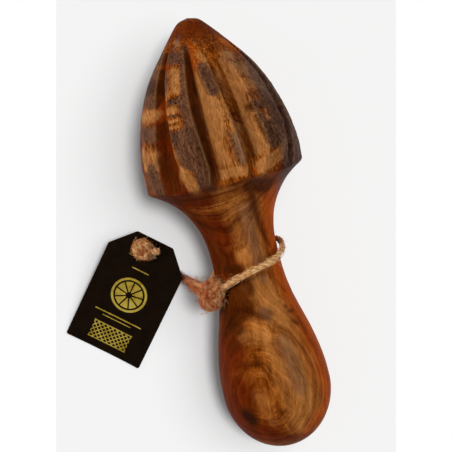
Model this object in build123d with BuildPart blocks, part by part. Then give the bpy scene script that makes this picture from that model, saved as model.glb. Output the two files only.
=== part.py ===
from build123d import *
import os
from math import cos, degrees, pi, radians, sin, tan

# A wooden citrus reamer with a hang tag tied round its neck, lying on a table.
# +Y runs along the reamer towards its tip, +Z is up, and the table is z = 0.
# The origin is under the middle of the reamer.

# Turned outline of the reamer, in millimetres; stations count from the tip
reamer_length = 150.0
tip_round = 6.7
tip_arc = 46.5
head_radius = 27.1
head_station = 49.5
rim_radius = 26.9
rim_station = 54.9
rim_round = 1.6
neck_radius = 11.57
neck_station = 83.0
bulb_radius = 18.76
bulb_station = 129.0

# Points of the outline between those sizes, as shares of the stretch and of the change of radius
head_shares = ((0.169, 0.311), (0.338, 0.582), (0.677, 0.894))
flare_shares = ((0.178, 0.457), (0.324, 0.678), (0.516, 0.868))
handle_shares = ((0.363, 0.240), (0.604, 0.660))
flare_slope = 59.5
round_share = 0.7071
oval_steps = 8

# Carved flutes
flute_depth = 3.5
flute_overrun = 4.0
crown_station = 15.0
flute_exit = 5.0
flute_lift = 0.6

# Each row: edges at the crown, edges at the rim (degrees round the axis, 0 on top), then, as shares,
# the two floor lines across the flute, its depth, and where along the head it starts
flute_rows = (
    ((-54.0, -45.0), (-58.0, -34.0), (0.40, 0.80), 0.85, 0.08),
    ((-17.0, -1.0), (-10.5, 8.5), (0.36, 0.41), 1.00, 0.13),
    ((12.5, 36.0), (16.5, 35.0), (0.14, 0.92), 0.95, 0.19),
    ((66.0, 74.0), (53.0, 68.0), (0.35, 0.75), 0.85, 0.15),
    ((97.0, 111.0), (95.0, 114.0), (0.30, 0.60), 0.95, 0.14),
    ((136.0, 150.0), (133.0, 152.0), (0.35, 0.45), 1.00, 0.17),
    ((170.0, 190.0), (170.0, 190.0), (0.30, 0.70), 0.90, 0.13),
    ((212.0, 227.0), (209.0, 228.0), (0.40, 0.55), 1.00, 0.16),
    ((254.0, 268.0), (252.0, 271.0), (0.35, 0.65), 0.90, 0.12),
)
rest_flute = 6
rest_slack = 0.01
depth_shares = ((0.16, 0.55), (0.40, 1.00), (0.75, 0.92), (1.00, 0.42))

# Hang tag
tag_width = 28.8
tag_length = 46.3
tag_shoulder = 38.0
tag_top_width = 13.8
tag_thickness = 0.5
tag_corner = 0.8
hole_radius = 2.75
hole_station = 41.3
tag_lean = 17.0
tag_turn = 40.0
tag_foot = (-57.4, -28.9)

# Twine
twine_diameter = 2.3
arc_share = 0.45
clearance = 0.3
neck_knot_place = (-14.0, -17.6, 31.1)
neck_knot_lay = (-0.26, -0.82, -0.51)
neck_knot_length = 12.4
neck_knot_thickness = 7.8
strand_side = 1.3
strand_rise = 4.0
tag_knot_width = 8.4
tag_knot_height = 5.8
tag_knot_base_share = 0.92
tag_knot_side = 1.3
cut_end_length = 6.8
cut_end_turn = 26.0

# Routes of the twine, points of straight runs that arcs then join
neck_loop_route = (
    (-13.0, -17.0, 31.0),
    (-6.8, -14.7, 36.3),
    (2.0, -12.6, 38.0),
    (10.0, -10.7, 34.3),
    (14.6, -7.3, 26.9),
    (13.2, -4.1, 18.8),
    (7.7, -3.3, 12.4),
    (-0.5, -4.0, 10.1),
    (-8.5, -5.9, 12.7),
    (-14.2, -9.4, 18.7),
    (-15.4, -12.4, 25.0),
    (-14.3, -14.9, 29.9),
)
upper_strand_route = (
    (-16.4, -15.9, 29.2),
    (-18.8, -13.0, 22.3),
    (-20.6, -11.7, 15.0),
    (-21.8, -10.7, 8.9),
    (-24.0, -8.1, 5.9),
    (-26.8, -4.4, 5.3),
    (-28.9, -1.3, 6.0),
)
lower_strand_route = (
    (-14.5, -17.0, 27.8),
    (-17.0, -14.4, 21.5),
    (-18.6, -13.1, 14.2),
    (-20.2, -12.1, 7.5),
    (-23.4, -8.9, 3.5),
    (-26.8, -4.4, 2.7),
    (-30.1, 0.4, 3.8),
)

# Outline of the reamer, drawn flat: x is the radius and -y the station
outline_samples = 60


def stretch(start, end, shares):
    """Points between two (radius, station) ends, from shares of the way and of the change of radius."""
    return [
        (start[0] + (end[0] - start[0]) * out, -start[1] - (end[1] - start[1]) * along)
        for along, out in shares
    ]


tip_turn = radians(tip_arc)
flare_turn = radians(flare_slope)
tip_end = (tip_round * sin(tip_turn), tip_round * (1 - cos(tip_turn)))

with BuildSketch() as outline:
    with BuildLine():
        CenterArc((0, -tip_round), tip_round, 90, -tip_arc)
        Spline(
            (tip_end[0], -tip_end[1]),
            *stretch(tip_end, (head_radius, head_station), head_shares),
            (head_radius, -head_station),
            tangents=((cos(tip_turn), -sin(tip_turn)), (0, -1)),
        )
        Line((head_radius, -head_station), (rim_radius, -rim_station))
        Spline(
            (rim_radius, -rim_station),
            *stretch((rim_radius, rim_station), (neck_radius, neck_station), flare_shares),
            (neck_radius, -neck_station),
            tangents=((-sin(flare_turn), -cos(flare_turn)), (0, -1)),
        )
        Spline(
            (neck_radius, -neck_station),
            *stretch((neck_radius, neck_station), (bulb_radius, bulb_station), handle_shares),
            (bulb_radius, -bulb_station),
            tangents=((0, -1), (0, -1)),
        )
        Spline(
            (bulb_radius, -bulb_station),
            (bulb_radius * round_share, -bulb_station - (reamer_length - bulb_station) * round_share),
            (0, -reamer_length),
            tangents=((0, -1), (-1, 0)),
        )
        Line((0, -reamer_length), (0, 0))
    make_face()
    fillet(outline.vertices().sort_by_distance((rim_radius, -rim_station))[0], rim_round)

spots = [edge @ (step / outline_samples) for edge in outline.edges() for step in range(outline_samples)]
profile = sorted((-spot.Y, spot.X) for spot in spots if spot.X > 0)


def radius_at(station):
    """The turned radius at a distance from the tip, before the flutes are carved."""
    before = max(point for point in profile if point[0] <= station)
    after = min(point for point in profile if point[0] > station)
    way = (station - before[0]) / (after[0] - before[0])
    return before[1] + (after[1] - before[1]) * way


# The reamer lies on its rim and its bulb, with the lowest flute straddling the point below the axis
rest_edges = flute_rows[rest_flute][1]
rest_cosine = cos(radians(rest_edges[1] - rest_edges[0]) / 2)


def reach_below(tilt, points, share):
    """How far the points reach below the level of the tip when the axis tilts by that angle."""
    return max(station * sin(tilt) + radius * share * cos(tilt) for station, radius in points)


head_points = [point for point in profile if point[0] < neck_station]
handle_points = [point for point in profile if point[0] >= neck_station]
low_tilt, high_tilt = 0.0, radians(45.0)
for _ in range(outline_samples):
    tilt = (low_tilt + high_tilt) / 2
    if reach_below(tilt, head_points, rest_cosine) > reach_below(tilt, handle_points, 1):
        low_tilt = tilt
    else:
        high_tilt = tilt
tip_height = reach_below(tilt, handle_points, 1) + rest_slack
tip_over = max(radius * sin(tilt) - station * cos(tilt) for station, radius in profile)
end_over = max(radius * sin(tilt) + station * cos(tilt) for station, radius in profile)
tip_place = Vector(0, (end_over - tip_over) / 2, tip_height)
axis_direction = Vector(0, cos(tilt), sin(tilt))


def axis_point(station):
    return tip_place - axis_direction * station


def around(angle, radius):
    """A point in a plane square to the axis, whose x is the row's X and whose y points down."""
    return (radius * sin(radians(angle)), -radius * cos(radians(angle)))


def flute_section(row, station, depth, lift):
    """The corners of the material that a flute takes away at a station."""
    crown_edges, rim_edges, floor_shares = row[0], row[1], row[2]
    way = (station - crown_station) / (rim_station - crown_station)
    left, right = [a + (b - a) * way for a, b in zip(crown_edges, rim_edges)]
    radius = radius_at(min(station, rim_station - rim_round)) + lift
    floor = [left + (right - left) * share for share in floor_shares]
    inner = [Vector(*around(angle, radius - depth)) for angle in floor]
    edge = [Vector(*around(angle, radius)) for angle in (left, right)]
    outer = [rim + (rim - low).normalized() * flute_lift for rim, low in zip(edge, inner)]
    clear = [corner + corner.normalized() * flute_overrun for corner in outer]
    return [clear[0], outer[0], *inner, outer[1], clear[1]]


# Reamer: one turned solid with its flutes carved out
with BuildPart() as reamer:
    with BuildSketch(Plane(tip_place, x_dir=(1, 0, 0), z_dir=(0, -sin(tilt), cos(tilt)))):
        add(outline.sketch)
    revolve(axis=Axis(tip_place, axis_direction))
    for row in flute_rows:
        start = rim_station * row[4]
        stops = [
            (start + (rim_station - start) * along, flute_depth * row[3] * deep, 0)
            for along, deep in depth_shares
        ]
        stops.insert(0, (start, stops[0][1], stops[0][1] + flute_lift))
        stops.append((rim_station + flute_exit, stops[-1][1], 0))
        for station, depth, lift in stops:
            with BuildSketch(Plane(axis_point(station), x_dir=(1, 0, 0), z_dir=axis_direction)):
                with BuildLine():
                    Polyline(*flute_section(row, station, depth, lift), close=True)
                make_face()
        loft(ruled=True, mode=Mode.SUBTRACT)
reamer.part.label = "reamer"

# Hang tag: a card that stands on its lower edge and leans back on the twine
tag_across = Vector(cos(radians(tag_turn)), -sin(radians(tag_turn)), 0)
tag_up = Vector(
    sin(radians(tag_turn)) * cos(radians(tag_lean)),
    cos(radians(tag_turn)) * cos(radians(tag_lean)),
    sin(radians(tag_lean)),
)
tag_plane = Plane(tag_foot, x_dir=tag_across, z_dir=tag_across.cross(tag_up))
with BuildPart() as hang_tag:
    with BuildSketch(tag_plane) as card:
        with BuildLine():
            Polyline(
                (-tag_width / 2, 0),
                (tag_width / 2, 0),
                (tag_width / 2, tag_shoulder),
                (tag_top_width / 2, tag_length),
                (-tag_top_width / 2, tag_length),
                (-tag_width / 2, tag_shoulder),
                close=True,
            )
        make_face()
        fillet(card.vertices(), tag_corner)
        with Locations((0, hole_station)):
            Circle(hole_radius, mode=Mode.SUBTRACT)
    extrude(amount=tag_thickness)
hang_tag.part.label = "hang_tag"


def corner_radii(points):
    """The radius of the arc at each corner of a route."""
    radii = []
    for before, corner, after in zip(points, points[1:], points[2:]):
        half_turn = radians((corner - before).get_angle(after - corner)) / 2
        shorter = min((corner - before).length, (after - corner).length)
        radii.append(arc_share * shorter / tan(half_turn))
    return radii


def report_cord(name, part, path, radii):
    length = sum(edge.length for edge in path.edges())
    whole = pi * (twine_diameter / 2) ** 2 * length
    print(
        f"{name}: length {length:.1f} mm, smallest radius {min(radii):.1f} mm,"
        f" volume {part.volume:.1f} of {whole:.1f} mm3"
    )


def oval_points(length, thickness):
    """Points of half an oval that lies along x."""
    turns = [pi * step / oval_steps for step in range(oval_steps + 1)]
    return [(-cos(turn) * length / 2, sin(turn) * thickness / 2) for turn in turns]


# Twine: the loop round the neck
loop_points = [Vector(*point) for point in neck_loop_route]
loop_radii = corner_radii(loop_points)
with BuildPart() as neck_loop:
    with BuildLine() as loop_path:
        FilletPolyline(*loop_points, radius=loop_radii)
    with BuildSketch(Plane(loop_points[0], z_dir=loop_points[1] - loop_points[0])):
        Circle(twine_diameter / 2)
    sweep()
neck_loop.part.label = "neck_loop"
report_cord("neck_loop", neck_loop.part, loop_path.line, loop_radii)

# Twine: the two strands from the neck knot, under the tag and up through its hole
seat = tag_thickness + clearance
upper_points = [Vector(*point) for point in upper_strand_route]
upper_points += [
    tag_plane.from_local_coords((strand_side, hole_station, height)) for height in (seat - strand_rise, seat)
]
upper_radii = corner_radii(upper_points)
with BuildPart() as upper_strand:
    with BuildLine() as upper_path:
        FilletPolyline(*upper_points, radius=upper_radii)
    with BuildSketch(Plane(upper_points[0], z_dir=upper_points[1] - upper_points[0])):
        Circle(twine_diameter / 2)
    sweep()
upper_strand.part.label = "upper_strand"
report_cord("upper_strand", upper_strand.part, upper_path.line, upper_radii)

lower_points = [Vector(*point) for point in lower_strand_route]
lower_points += [
    tag_plane.from_local_coords((-strand_side, hole_station, height)) for height in (seat - strand_rise, seat)
]
lower_radii = corner_radii(lower_points)
with BuildPart() as lower_strand:
    with BuildLine() as lower_path:
        FilletPolyline(*lower_points, radius=lower_radii)
    with BuildSketch(Plane(lower_points[0], z_dir=lower_points[1] - lower_points[0])):
        Circle(twine_diameter / 2)
    sweep()
lower_strand.part.label = "lower_strand"
report_cord("lower_strand", lower_strand.part, lower_path.line, lower_radii)

# Twine: the knot that closes the loop, beside the neck
knot_lay = Vector(*neck_knot_lay).normalized()
knot_side = Vector(0, 0, 1).cross(knot_lay).normalized()
knot_plane = Plane(neck_knot_place, x_dir=knot_lay, z_dir=knot_lay.cross(knot_side))
with BuildPart() as neck_knot:
    with BuildSketch(knot_plane):
        with BuildLine():
            Spline(*oval_points(neck_knot_length, neck_knot_thickness), tangents=((0, 1), (0, -1)))
            Line((neck_knot_length / 2, 0), (-neck_knot_length / 2, 0))
        make_face()
    revolve(axis=Axis(neck_knot_place, knot_lay))
neck_knot.part.label = "neck_knot"

# Twine: the stopper knot on the tag's front face, flat where it faces the card
hole_place = tag_plane.from_local_coords((0, hole_station, 0))
end_turn = radians(cut_end_turn)
end_direction = tag_across * cos(end_turn) + tag_up * sin(end_turn)
tag_knot_seat = tag_plane.from_local_coords((-tag_knot_side, hole_station, seat))
tag_knot_middle = tag_knot_seat + tag_plane.z_dir * tag_knot_height / 2
with BuildPart() as tag_knot:
    with BuildSketch(Plane(tag_knot_seat, x_dir=tag_across, z_dir=-tag_up)):
        with BuildLine():
            Line((0, 0), (tag_knot_width / 2 * tag_knot_base_share, 0))
            Spline(
                (tag_knot_width / 2 * tag_knot_base_share, 0),
                (tag_knot_width / 2, tag_knot_height / 2),
                (tag_knot_width / 2 * round_share, tag_knot_height / 2 * (1 + round_share)),
                (0, tag_knot_height),
                tangents=((1, 1), (-1, 0)),
            )
            Line((0, tag_knot_height), (0, 0))
        make_face()
    revolve(axis=Axis(tag_knot_seat, tag_plane.z_dir))
tag_knot.part.label = "tag_knot"

# Twine: the cut end that sticks out of the stopper knot
with BuildPart() as cut_end:
    with BuildSketch(Plane(tag_knot_middle, z_dir=end_direction)):
        Circle(twine_diameter / 2)
    extrude(amount=cut_end_length)
cut_end.part.label = "cut_end"

pieces = (reamer, hang_tag, neck_loop, upper_strand, lower_strand, neck_knot, tag_knot, cut_end)
os.makedirs("parts", exist_ok=True)
for piece in pieces:
    export_step(piece.part, f"parts/{piece.part.label}.step")
    box = piece.part.bounding_box()
    print(piece.part.label, round(piece.part.volume, 1), "mm3, from", box.min, "to", box.max)
print(f"tilt {degrees(tilt):.2f} degrees, tip at {tip_place}, hole at {hole_place}")
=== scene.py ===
# %% [markdown]
# A hand citrus reamer, turned and then carved from figured olive wood, with a hang tag tied round
# its neck with jute twine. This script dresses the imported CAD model: it keeps every size and place,
# and adds what makes the wood, the twine and the card look real.

import math

import bmesh
import bpy
import numpy as np
from mathutils import Matrix, Vector, noise


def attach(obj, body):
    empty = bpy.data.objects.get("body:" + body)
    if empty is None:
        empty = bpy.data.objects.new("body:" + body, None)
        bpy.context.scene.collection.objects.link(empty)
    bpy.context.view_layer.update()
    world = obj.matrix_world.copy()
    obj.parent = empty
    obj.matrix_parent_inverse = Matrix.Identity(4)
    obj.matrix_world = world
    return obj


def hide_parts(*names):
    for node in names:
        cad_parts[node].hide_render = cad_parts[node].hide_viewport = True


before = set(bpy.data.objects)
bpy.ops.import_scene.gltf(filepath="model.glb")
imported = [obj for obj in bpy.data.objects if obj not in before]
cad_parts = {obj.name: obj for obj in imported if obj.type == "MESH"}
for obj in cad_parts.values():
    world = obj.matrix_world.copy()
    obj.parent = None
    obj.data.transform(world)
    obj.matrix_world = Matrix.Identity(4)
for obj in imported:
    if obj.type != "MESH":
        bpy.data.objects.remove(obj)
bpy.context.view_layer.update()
MM = 0.001
print("nodes:", sorted(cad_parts))

# %% [markdown]
# These helpers put a piece in the scene, turn curves into a mesh, close a tube of rings, store
# values for a material to read, and turn a mesh's faces outwards.

# %% Helpers for pieces
def placed(name, data):
    """A new object in the scene, at the origin."""
    piece = bpy.data.objects.new(name, data)
    bpy.context.scene.collection.objects.link(piece)
    return piece


def curve_data(name, routes, kind="POLY", dimensions="3D", unit=MM):
    """A curve with one spline for each route, which is a list of places."""
    data = bpy.data.curves.new(name, "CURVE")
    data.dimensions = dimensions
    for route in routes:
        spline = data.splines.new(kind)
        spline.points.add(len(route) - 1)
        for control, place in zip(spline.points, route):
            control.co = (*(value * unit for value in place), 1)
    return data


def curve_mesh(name, data):
    """The mesh of a curve, without leaving the curve's object behind."""
    curve = placed(name, data)
    bpy.context.view_layer.update()
    mesh = bpy.data.meshes.new_from_object(curve)
    bpy.data.objects.remove(curve)
    return mesh


def tube_faces(rows, columns):
    """Faces of a closed tube of rings, whose two end points come after the last ring."""
    faces = []
    for row in range(rows - 1):
        for column in range(columns):
            after = (column + 1) % columns
            base = row * columns
            faces.append((base + column, base + after, base + columns + after, base + columns + column))
    start_point, last_row = rows * columns, (rows - 1) * columns
    for column in range(columns):
        after = (column + 1) % columns
        faces.append((start_point, after, column))
        faces.append((start_point + 1, last_row + column, last_row + after))
    return faces


def store(mesh, name, values, domain="POINT"):
    """A value for every point or face of a mesh, for its material to read."""
    layer = mesh.attributes.new(name, "FLOAT", domain)
    layer.data.foreach_set("value", np.asarray(values, np.float32))


def faced_outwards(mesh):
    """Smooth shading, and every face turned to point out of the closed mesh."""
    shell = bmesh.new()
    shell.from_mesh(mesh)
    bmesh.ops.recalc_face_normals(shell, faces=shell.faces[:])
    for face in shell.faces:
        face.smooth = True
    shell.to_mesh(mesh)
    shell.free()


# %% [markdown]
# The photograph looks straight down on the table. The reamer is turned in the picture by rolling
# the camera, because the object itself stays where the CAD model puts it.

# %% Camera
CAMERA_PLACE = (-3.85 * MM, 3.85 * MM, 472 * MM)
CAMERA_ROLL = math.radians(-13.75)
FIELD_WIDTH = 154.95 * MM
FIELD_DISTANCE = 450 * MM

camera_data = bpy.data.cameras.new("camera")
camera_data.sensor_width = 36
camera_data.lens = camera_data.sensor_width * FIELD_DISTANCE / FIELD_WIDTH
camera = placed("camera", camera_data)
camera.location = CAMERA_PLACE
camera.rotation_euler = (0, 0, CAMERA_ROLL)
bpy.context.scene.camera = camera
print("lens", round(camera_data.lens, 1), "mm")

# %% [markdown]
# The twine is one cord in three free stretches: the loop round the neck and the two strands that
# lead from the knot to the tag. Each route is a smooth NURBS line. It runs near the CAD tube, where
# the photograph shows the twine, and everything that follows the twine reads its points from it.

# %% Routes of the twine
TWINE_DIAMETER = 2.3 * MM
# The plies are laid slimmer than the CAD tube, as the photograph shows them
TWINE_GIRTH = 2.0 * MM

NECK_LOOP_ROUTE = (
    (-13.0, -17.0, 31.0),
    (-6.8, -14.7, 36.3),
    (2.0, -12.6, 38.0),
    (10.0, -10.7, 34.3),
    (13.5, -7.3, 26.9),
    (12.8, -4.1, 18.8),
    (7.7, -3.3, 12.4),
    (-0.5, -4.0, 10.1),
    (-8.5, -8.3, 12.4),
    (-12.9, -12.6, 18.9),
    (-13.4, -15.0, 24.6),
    (-13.6, -16.4, 29.2),
)
UPPER_STRAND_ROUTE = (
    (-15.8, -14.2, 29.2),
    (-18.4, -12.7, 22.3),
    (-20.5, -12.1, 15.0),
    (-22.0, -11.3, 8.9),
    (-24.3, -8.9, 5.9),
    (-26.8, -4.4, 5.3),
    (-28.9, -1.3, 6.0),
    (-30.4, 1.2, 9.0),
    (-31.2, 0.3, 12.8),
)
LOWER_STRAND_ROUTE = (
    (-15.4, -18.4, 27.8),
    (-17.8, -15.9, 21.5),
    (-19.4, -14.5, 14.2),
    (-20.9, -13.2, 7.5),
    (-23.8, -9.4, 3.5),
    (-26.8, -4.4, 2.7),
    (-30.1, 0.4, 3.8),
    (-32.4, 2.9, 9.0),
    (-33.2, 2.0, 12.8),
)


def route_line(name, route, cyclic=False):
    """A NURBS curve through a route given in millimetres, and its points."""
    data = curve_data(name, [route], "NURBS")
    data.resolution_u = 16
    spline = data.splines[0]
    spline.order_u = 3
    spline.use_endpoint_u = not cyclic
    spline.use_cyclic_u = cyclic
    mesh = curve_mesh(name, data)
    line = [vertex.co.copy() for vertex in mesh.vertices]
    bpy.data.meshes.remove(mesh)
    return line


def line_length(line):
    return sum((b - a).length for a, b in zip(line, line[1:]))


loop_line = route_line("neck_loop_line", NECK_LOOP_ROUTE)
upper_line = route_line("upper_strand_line", UPPER_STRAND_ROUTE)
lower_line = route_line("lower_strand_line", LOWER_STRAND_ROUTE)
for label, line in (("loop", loop_line), ("upper", upper_line), ("lower", lower_line)):
    print(label, "line of", len(line), "points,", round(line_length(line) * 1000, 1), "mm")

# %% [markdown]
# Jute twine is three plies laid round each other. The cross-section is three touching circles, and
# it turns steadily as it follows the line, so each ply becomes a helix. Small ridges across each
# ply stand for its fibres.

# %% A laid twine along a line
PLIES = 3
TWINE_SIDES = 36
TWINE_STEP = 0.24 * MM
TWINE_LAY = 6.2 * MM
END_BULGE = 0.12
GROOVE_FLOOR = 0.70
RIDGES = 0.035
SLOW_SWELL, FAST_SWELL = 0.05, 0.03
ANY_DIRECTION = (0.31, 0.23, 0.92)


def even_points(line, step):
    """The line resampled at equal steps."""
    places = np.array([tuple(point) for point in line])
    lengths = np.concatenate([[0], np.cumsum(np.linalg.norm(np.diff(places, axis=0), axis=1))])
    count = max(int(lengths[-1] / step), 4)
    stops = np.linspace(0, lengths[-1], count + 1)
    return np.stack([np.interp(stops, lengths, places[:, axis]) for axis in range(3)], axis=1), stops


def carried_frames(points):
    """Directions across the line that turn with it as little as they can."""
    ahead = np.gradient(points, axis=0)
    ahead /= np.linalg.norm(ahead, axis=1)[:, None]
    side = np.cross(ahead[0], ANY_DIRECTION)
    sides = []
    for direction in ahead:
        side = side - direction * side.dot(direction)
        side = side / np.linalg.norm(side)
        sides.append(side)
    sides = np.array(sides)
    return ahead, sides, np.cross(ahead, sides)


def ply_profile(sides, plies):
    """Radius of a bundle of touching round plies, as a share of its outer radius."""
    ply = 1 / (1 + 1 / math.sin(math.pi / plies))
    offset = 1 - ply
    turns = np.arange(sides) * 2 * math.pi / sides
    local = (turns + math.pi / plies) % (2 * math.pi / plies) - math.pi / plies
    inside = np.maximum(ply**2 - (offset * np.sin(local)) ** 2, 0)
    shape = offset * np.cos(local) + np.sqrt(inside)
    return turns, np.maximum(shape, GROOVE_FLOOR)


def laid_twine(name, line, diameter, lay=TWINE_LAY, seed=1):
    """A mesh of laid plies along a line, with a UV map that runs along the fibres."""
    points, stops = even_points(line, TWINE_STEP)
    ahead, across, up = carried_frames(points)
    turns, shape = ply_profile(TWINE_SIDES, PLIES)
    random = np.random.default_rng(seed)
    ridges = 1 + RIDGES * random.standard_normal(TWINE_SIDES)
    swell = 1 + SLOW_SWELL * np.sin(stops / (3.1 * MM) + seed)
    swell += FAST_SWELL * np.sin(stops / (1.3 * MM) + 2 * seed)
    vertices = []
    for index, place in enumerate(points):
        angle = turns + 2 * math.pi * stops[index] / lay
        radius = diameter / 2 * shape * ridges * swell[index]
        sideways = np.outer(np.cos(angle) * radius, across[index])
        vertices.extend(place + sideways + np.outer(np.sin(angle) * radius, up[index]))
    first = len(vertices)
    end_bulge = diameter * END_BULGE
    vertices.extend([points[0] - ahead[0] * end_bulge, points[-1] + ahead[-1] * end_bulge])
    mesh = bpy.data.meshes.new(name)
    mesh.from_pydata([tuple(vertex) for vertex in vertices], [], tube_faces(len(points), TWINE_SIDES))
    mesh.uv_layers.new(name="fibre")
    layer = mesh.uv_layers["fibre"].data
    for polygon in mesh.polygons:
        for loop_index in polygon.loop_indices:
            vertex = mesh.loops[loop_index].vertex_index
            if vertex < first:
                ring, side = divmod(vertex, TWINE_SIDES)
                layer[loop_index].uv = (side / TWINE_SIDES, stops[ring] / diameter)
            else:
                layer[loop_index].uv = (0.5, stops[0 if vertex == first else -1] / diameter)
    faced_outwards(mesh)
    return placed(name, mesh)


neck_loop = laid_twine("twine_neck_loop", loop_line, TWINE_GIRTH, seed=1)
upper_strand = laid_twine("twine_upper_strand", upper_line, TWINE_GIRTH, seed=2)
lower_strand = laid_twine("twine_lower_strand", lower_line, TWINE_GIRTH, seed=3)
print("twine faces:", [len(piece.data.polygons) for piece in (neck_loop, upper_strand, lower_strand)])

# %% [markdown]
# Materials are built from nodes. These helpers add a node, set its values and join its inputs, so
# that each material reads as a list of what it does.

# %% Helpers for node trees


def set_inputs(node, inputs):
    """Joins a node's inputs to sockets or nodes, or sets them to values."""
    for key, value in inputs.items():
        if isinstance(value, bpy.types.Node):
            value = value.outputs[0]
        if isinstance(value, bpy.types.NodeSocket):
            node.id_data.links.new(value, node.inputs[key])
        else:
            node.inputs[key].default_value = value


def add_node(tree, kind, inputs=None, **settings):
    node = tree.nodes.new(kind)
    for name, value in settings.items():
        setattr(node, name, value)
    set_inputs(node, inputs or {})
    return node


def new_material(name):
    """A material, its node tree and its shader."""
    material = bpy.data.materials.new(name)
    material.use_nodes = True
    tree = material.node_tree
    tree.nodes.clear()
    shader = add_node(tree, "ShaderNodeBsdfPrincipled")
    add_node(tree, "ShaderNodeOutputMaterial", {"Surface": shader})
    return material, tree, shader


def math_node(operation, first, second=0.5, clamp=False):
    tree = next(value.id_data for value in (first, second) if isinstance(value, bpy.types.NodeSocket))
    inputs = {0: first, 1: second}
    return add_node(tree, "ShaderNodeMath", inputs, operation=operation, use_clamp=clamp).outputs[0]


def plus(first, second, clamp=False):
    return math_node("ADD", first, second, clamp)


def minus(first, second, clamp=False):
    return math_node("SUBTRACT", first, second, clamp)


def times(first, second, clamp=False):
    return math_node("MULTIPLY", first, second, clamp)


def vector_math(tree, operation, inputs):
    return add_node(tree, "ShaderNodeVectorMath", inputs, operation=operation).outputs[0]


def attribute(tree, name):
    return add_node(tree, "ShaderNodeAttribute", attribute_name=name).outputs["Fac"]


def noise_at(vector, scale, detail, rough):
    inputs = {"Vector": vector, "Scale": scale, "Detail": detail, "Roughness": rough}
    return add_node(vector.id_data, "ShaderNodeTexNoise", inputs).outputs[0]


def stretched(vector, scale, **more):
    inputs = {"Vector": vector, "Scale": scale, **more}
    return add_node(vector.id_data, "ShaderNodeMapping", inputs).outputs[0]


def in_millimetres(tree, **more):
    """The object's own coordinates, in millimetres."""
    return stretched(add_node(tree, "ShaderNodeTexCoord").outputs["Object"], (1000, 1000, 1000), **more)


def bumped(shader, height, strength, distance):
    """Lets a height tilt the shader's normal; the distance is in millimetres."""
    inputs = {"Height": height, "Strength": strength, "Distance": distance * MM}
    set_inputs(shader, {"Normal": add_node(shader.id_data, "ShaderNodeBump", inputs)})


def srgb(red, green, blue):
    """A colour written as 0 to 255, as the shaders take it."""
    shares = [value / 255 for value in (red, green, blue)]
    return tuple(s / 12.92 if s <= 0.04045 else ((s + 0.055) / 1.055) ** 2.4 for s in shares)


def ramp_node(factor, stops):
    """A colour ramp from pairs of a place and a colour written as 0 to 255."""
    node = add_node(factor.id_data, "ShaderNodeValToRGB", {"Fac": factor})
    ramp = node.color_ramp
    while len(ramp.elements) < len(stops):
        ramp.elements.new(0.5)
    for element, (place, colour) in zip(ramp.elements, stops):
        element.position = place
        element.color = (*srgb(*colour), 1)
    return node.outputs["Color"]


def mix_colour(factor, first, second):
    """A mix of two colours, each a socket or written as 0 to 255."""
    inputs = {0: factor}
    for place, colour in ((6, first), (7, second)):
        inputs[place] = colour if isinstance(colour, bpy.types.NodeSocket) else (*srgb(*colour), 1)
    return add_node(factor.id_data, "ShaderNodeMix", inputs, data_type="RGBA").outputs[2]


# %% [markdown]
# The reamer is one turned solid with nine flutes carved into its head. A fine grid follows it: rows
# step along the outline, and columns go round the axis. The columns bunch up at each flute's edges
# and floor, so the carving stays crisp without a dense mesh everywhere.

# %% Turned outline of the reamer
REAMER_TIP = np.array((0.0, 74.652, 31.878))
REAMER_TILT = math.radians(5.82)
REAMER_LENGTH = 150.0
TIP_ROUND = 6.7
TIP_ARC = math.radians(46.5)
TIP_END = (2.09, 4.86)
HEAD_POINTS = ((10.1, 11.77), (18.1, 17.80), (34.2, 24.75), (49.5, 27.1))
RIM = (54.9, 26.9)
RIM_ROUND = 1.6
FLARE_SLOPE = math.radians(59.5)
FLARE_POINTS = ((59.9, 19.9), (64.0, 16.5), (69.4, 13.6), (83.0, 11.57))
HANDLE_POINTS = ((99.7, 13.3), (110.8, 16.3), (129.0, 18.76))


def spline_through(points, start, end, step=0.1):
    """A smooth curve of (station, radius) through points, with given directions at its ends."""
    points = np.array(points, float)
    gaps = np.linalg.norm(np.diff(points, axis=0), axis=1)
    count = len(points)
    matrix, sides = np.eye(count), np.zeros((count, 2))
    sides[0], sides[-1] = start, end
    for i in range(1, count - 1):
        before, after = gaps[i - 1], gaps[i]
        matrix[i, i - 1 : i + 2] = after, 2 * (before + after), before
        rise_before = (points[i] - points[i - 1]) / before
        rise_after = (points[i + 1] - points[i]) / after
        sides[i] = 3 * (rise_before * after + rise_after * before)
    slopes = np.linalg.solve(matrix, sides)
    curve = []
    for i, gap in enumerate(gaps):
        for way in np.arange(0, 1, step / gap):
            stay, leave = 2 * way**3 - 3 * way**2 + 1, way**3 - 2 * way**2 + way
            reach, arrive = 3 * way**2 - 2 * way**3, way**3 - way**2
            place = stay * points[i] + leave * gap * slopes[i]
            curve.append(place + reach * points[i + 1] + arrive * gap * slopes[i + 1])
    return curve


def eased_corner(curve, corner, reach):
    """The curve with the stretch within reach of a corner replaced by a smooth turn."""
    curve = np.array([tuple(point) for point in curve])
    near = np.where(np.linalg.norm(curve - corner, axis=1) < reach)[0]
    first, last = near[0], near[-1]
    ways = np.linspace(0, 1, last - first + 1)[:, None]
    curve[first : last + 1] = (
        (1 - ways) ** 2 * curve[first] + 2 * ways * (1 - ways) * np.array(corner) + ways**2 * curve[last]
    )
    return curve


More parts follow.
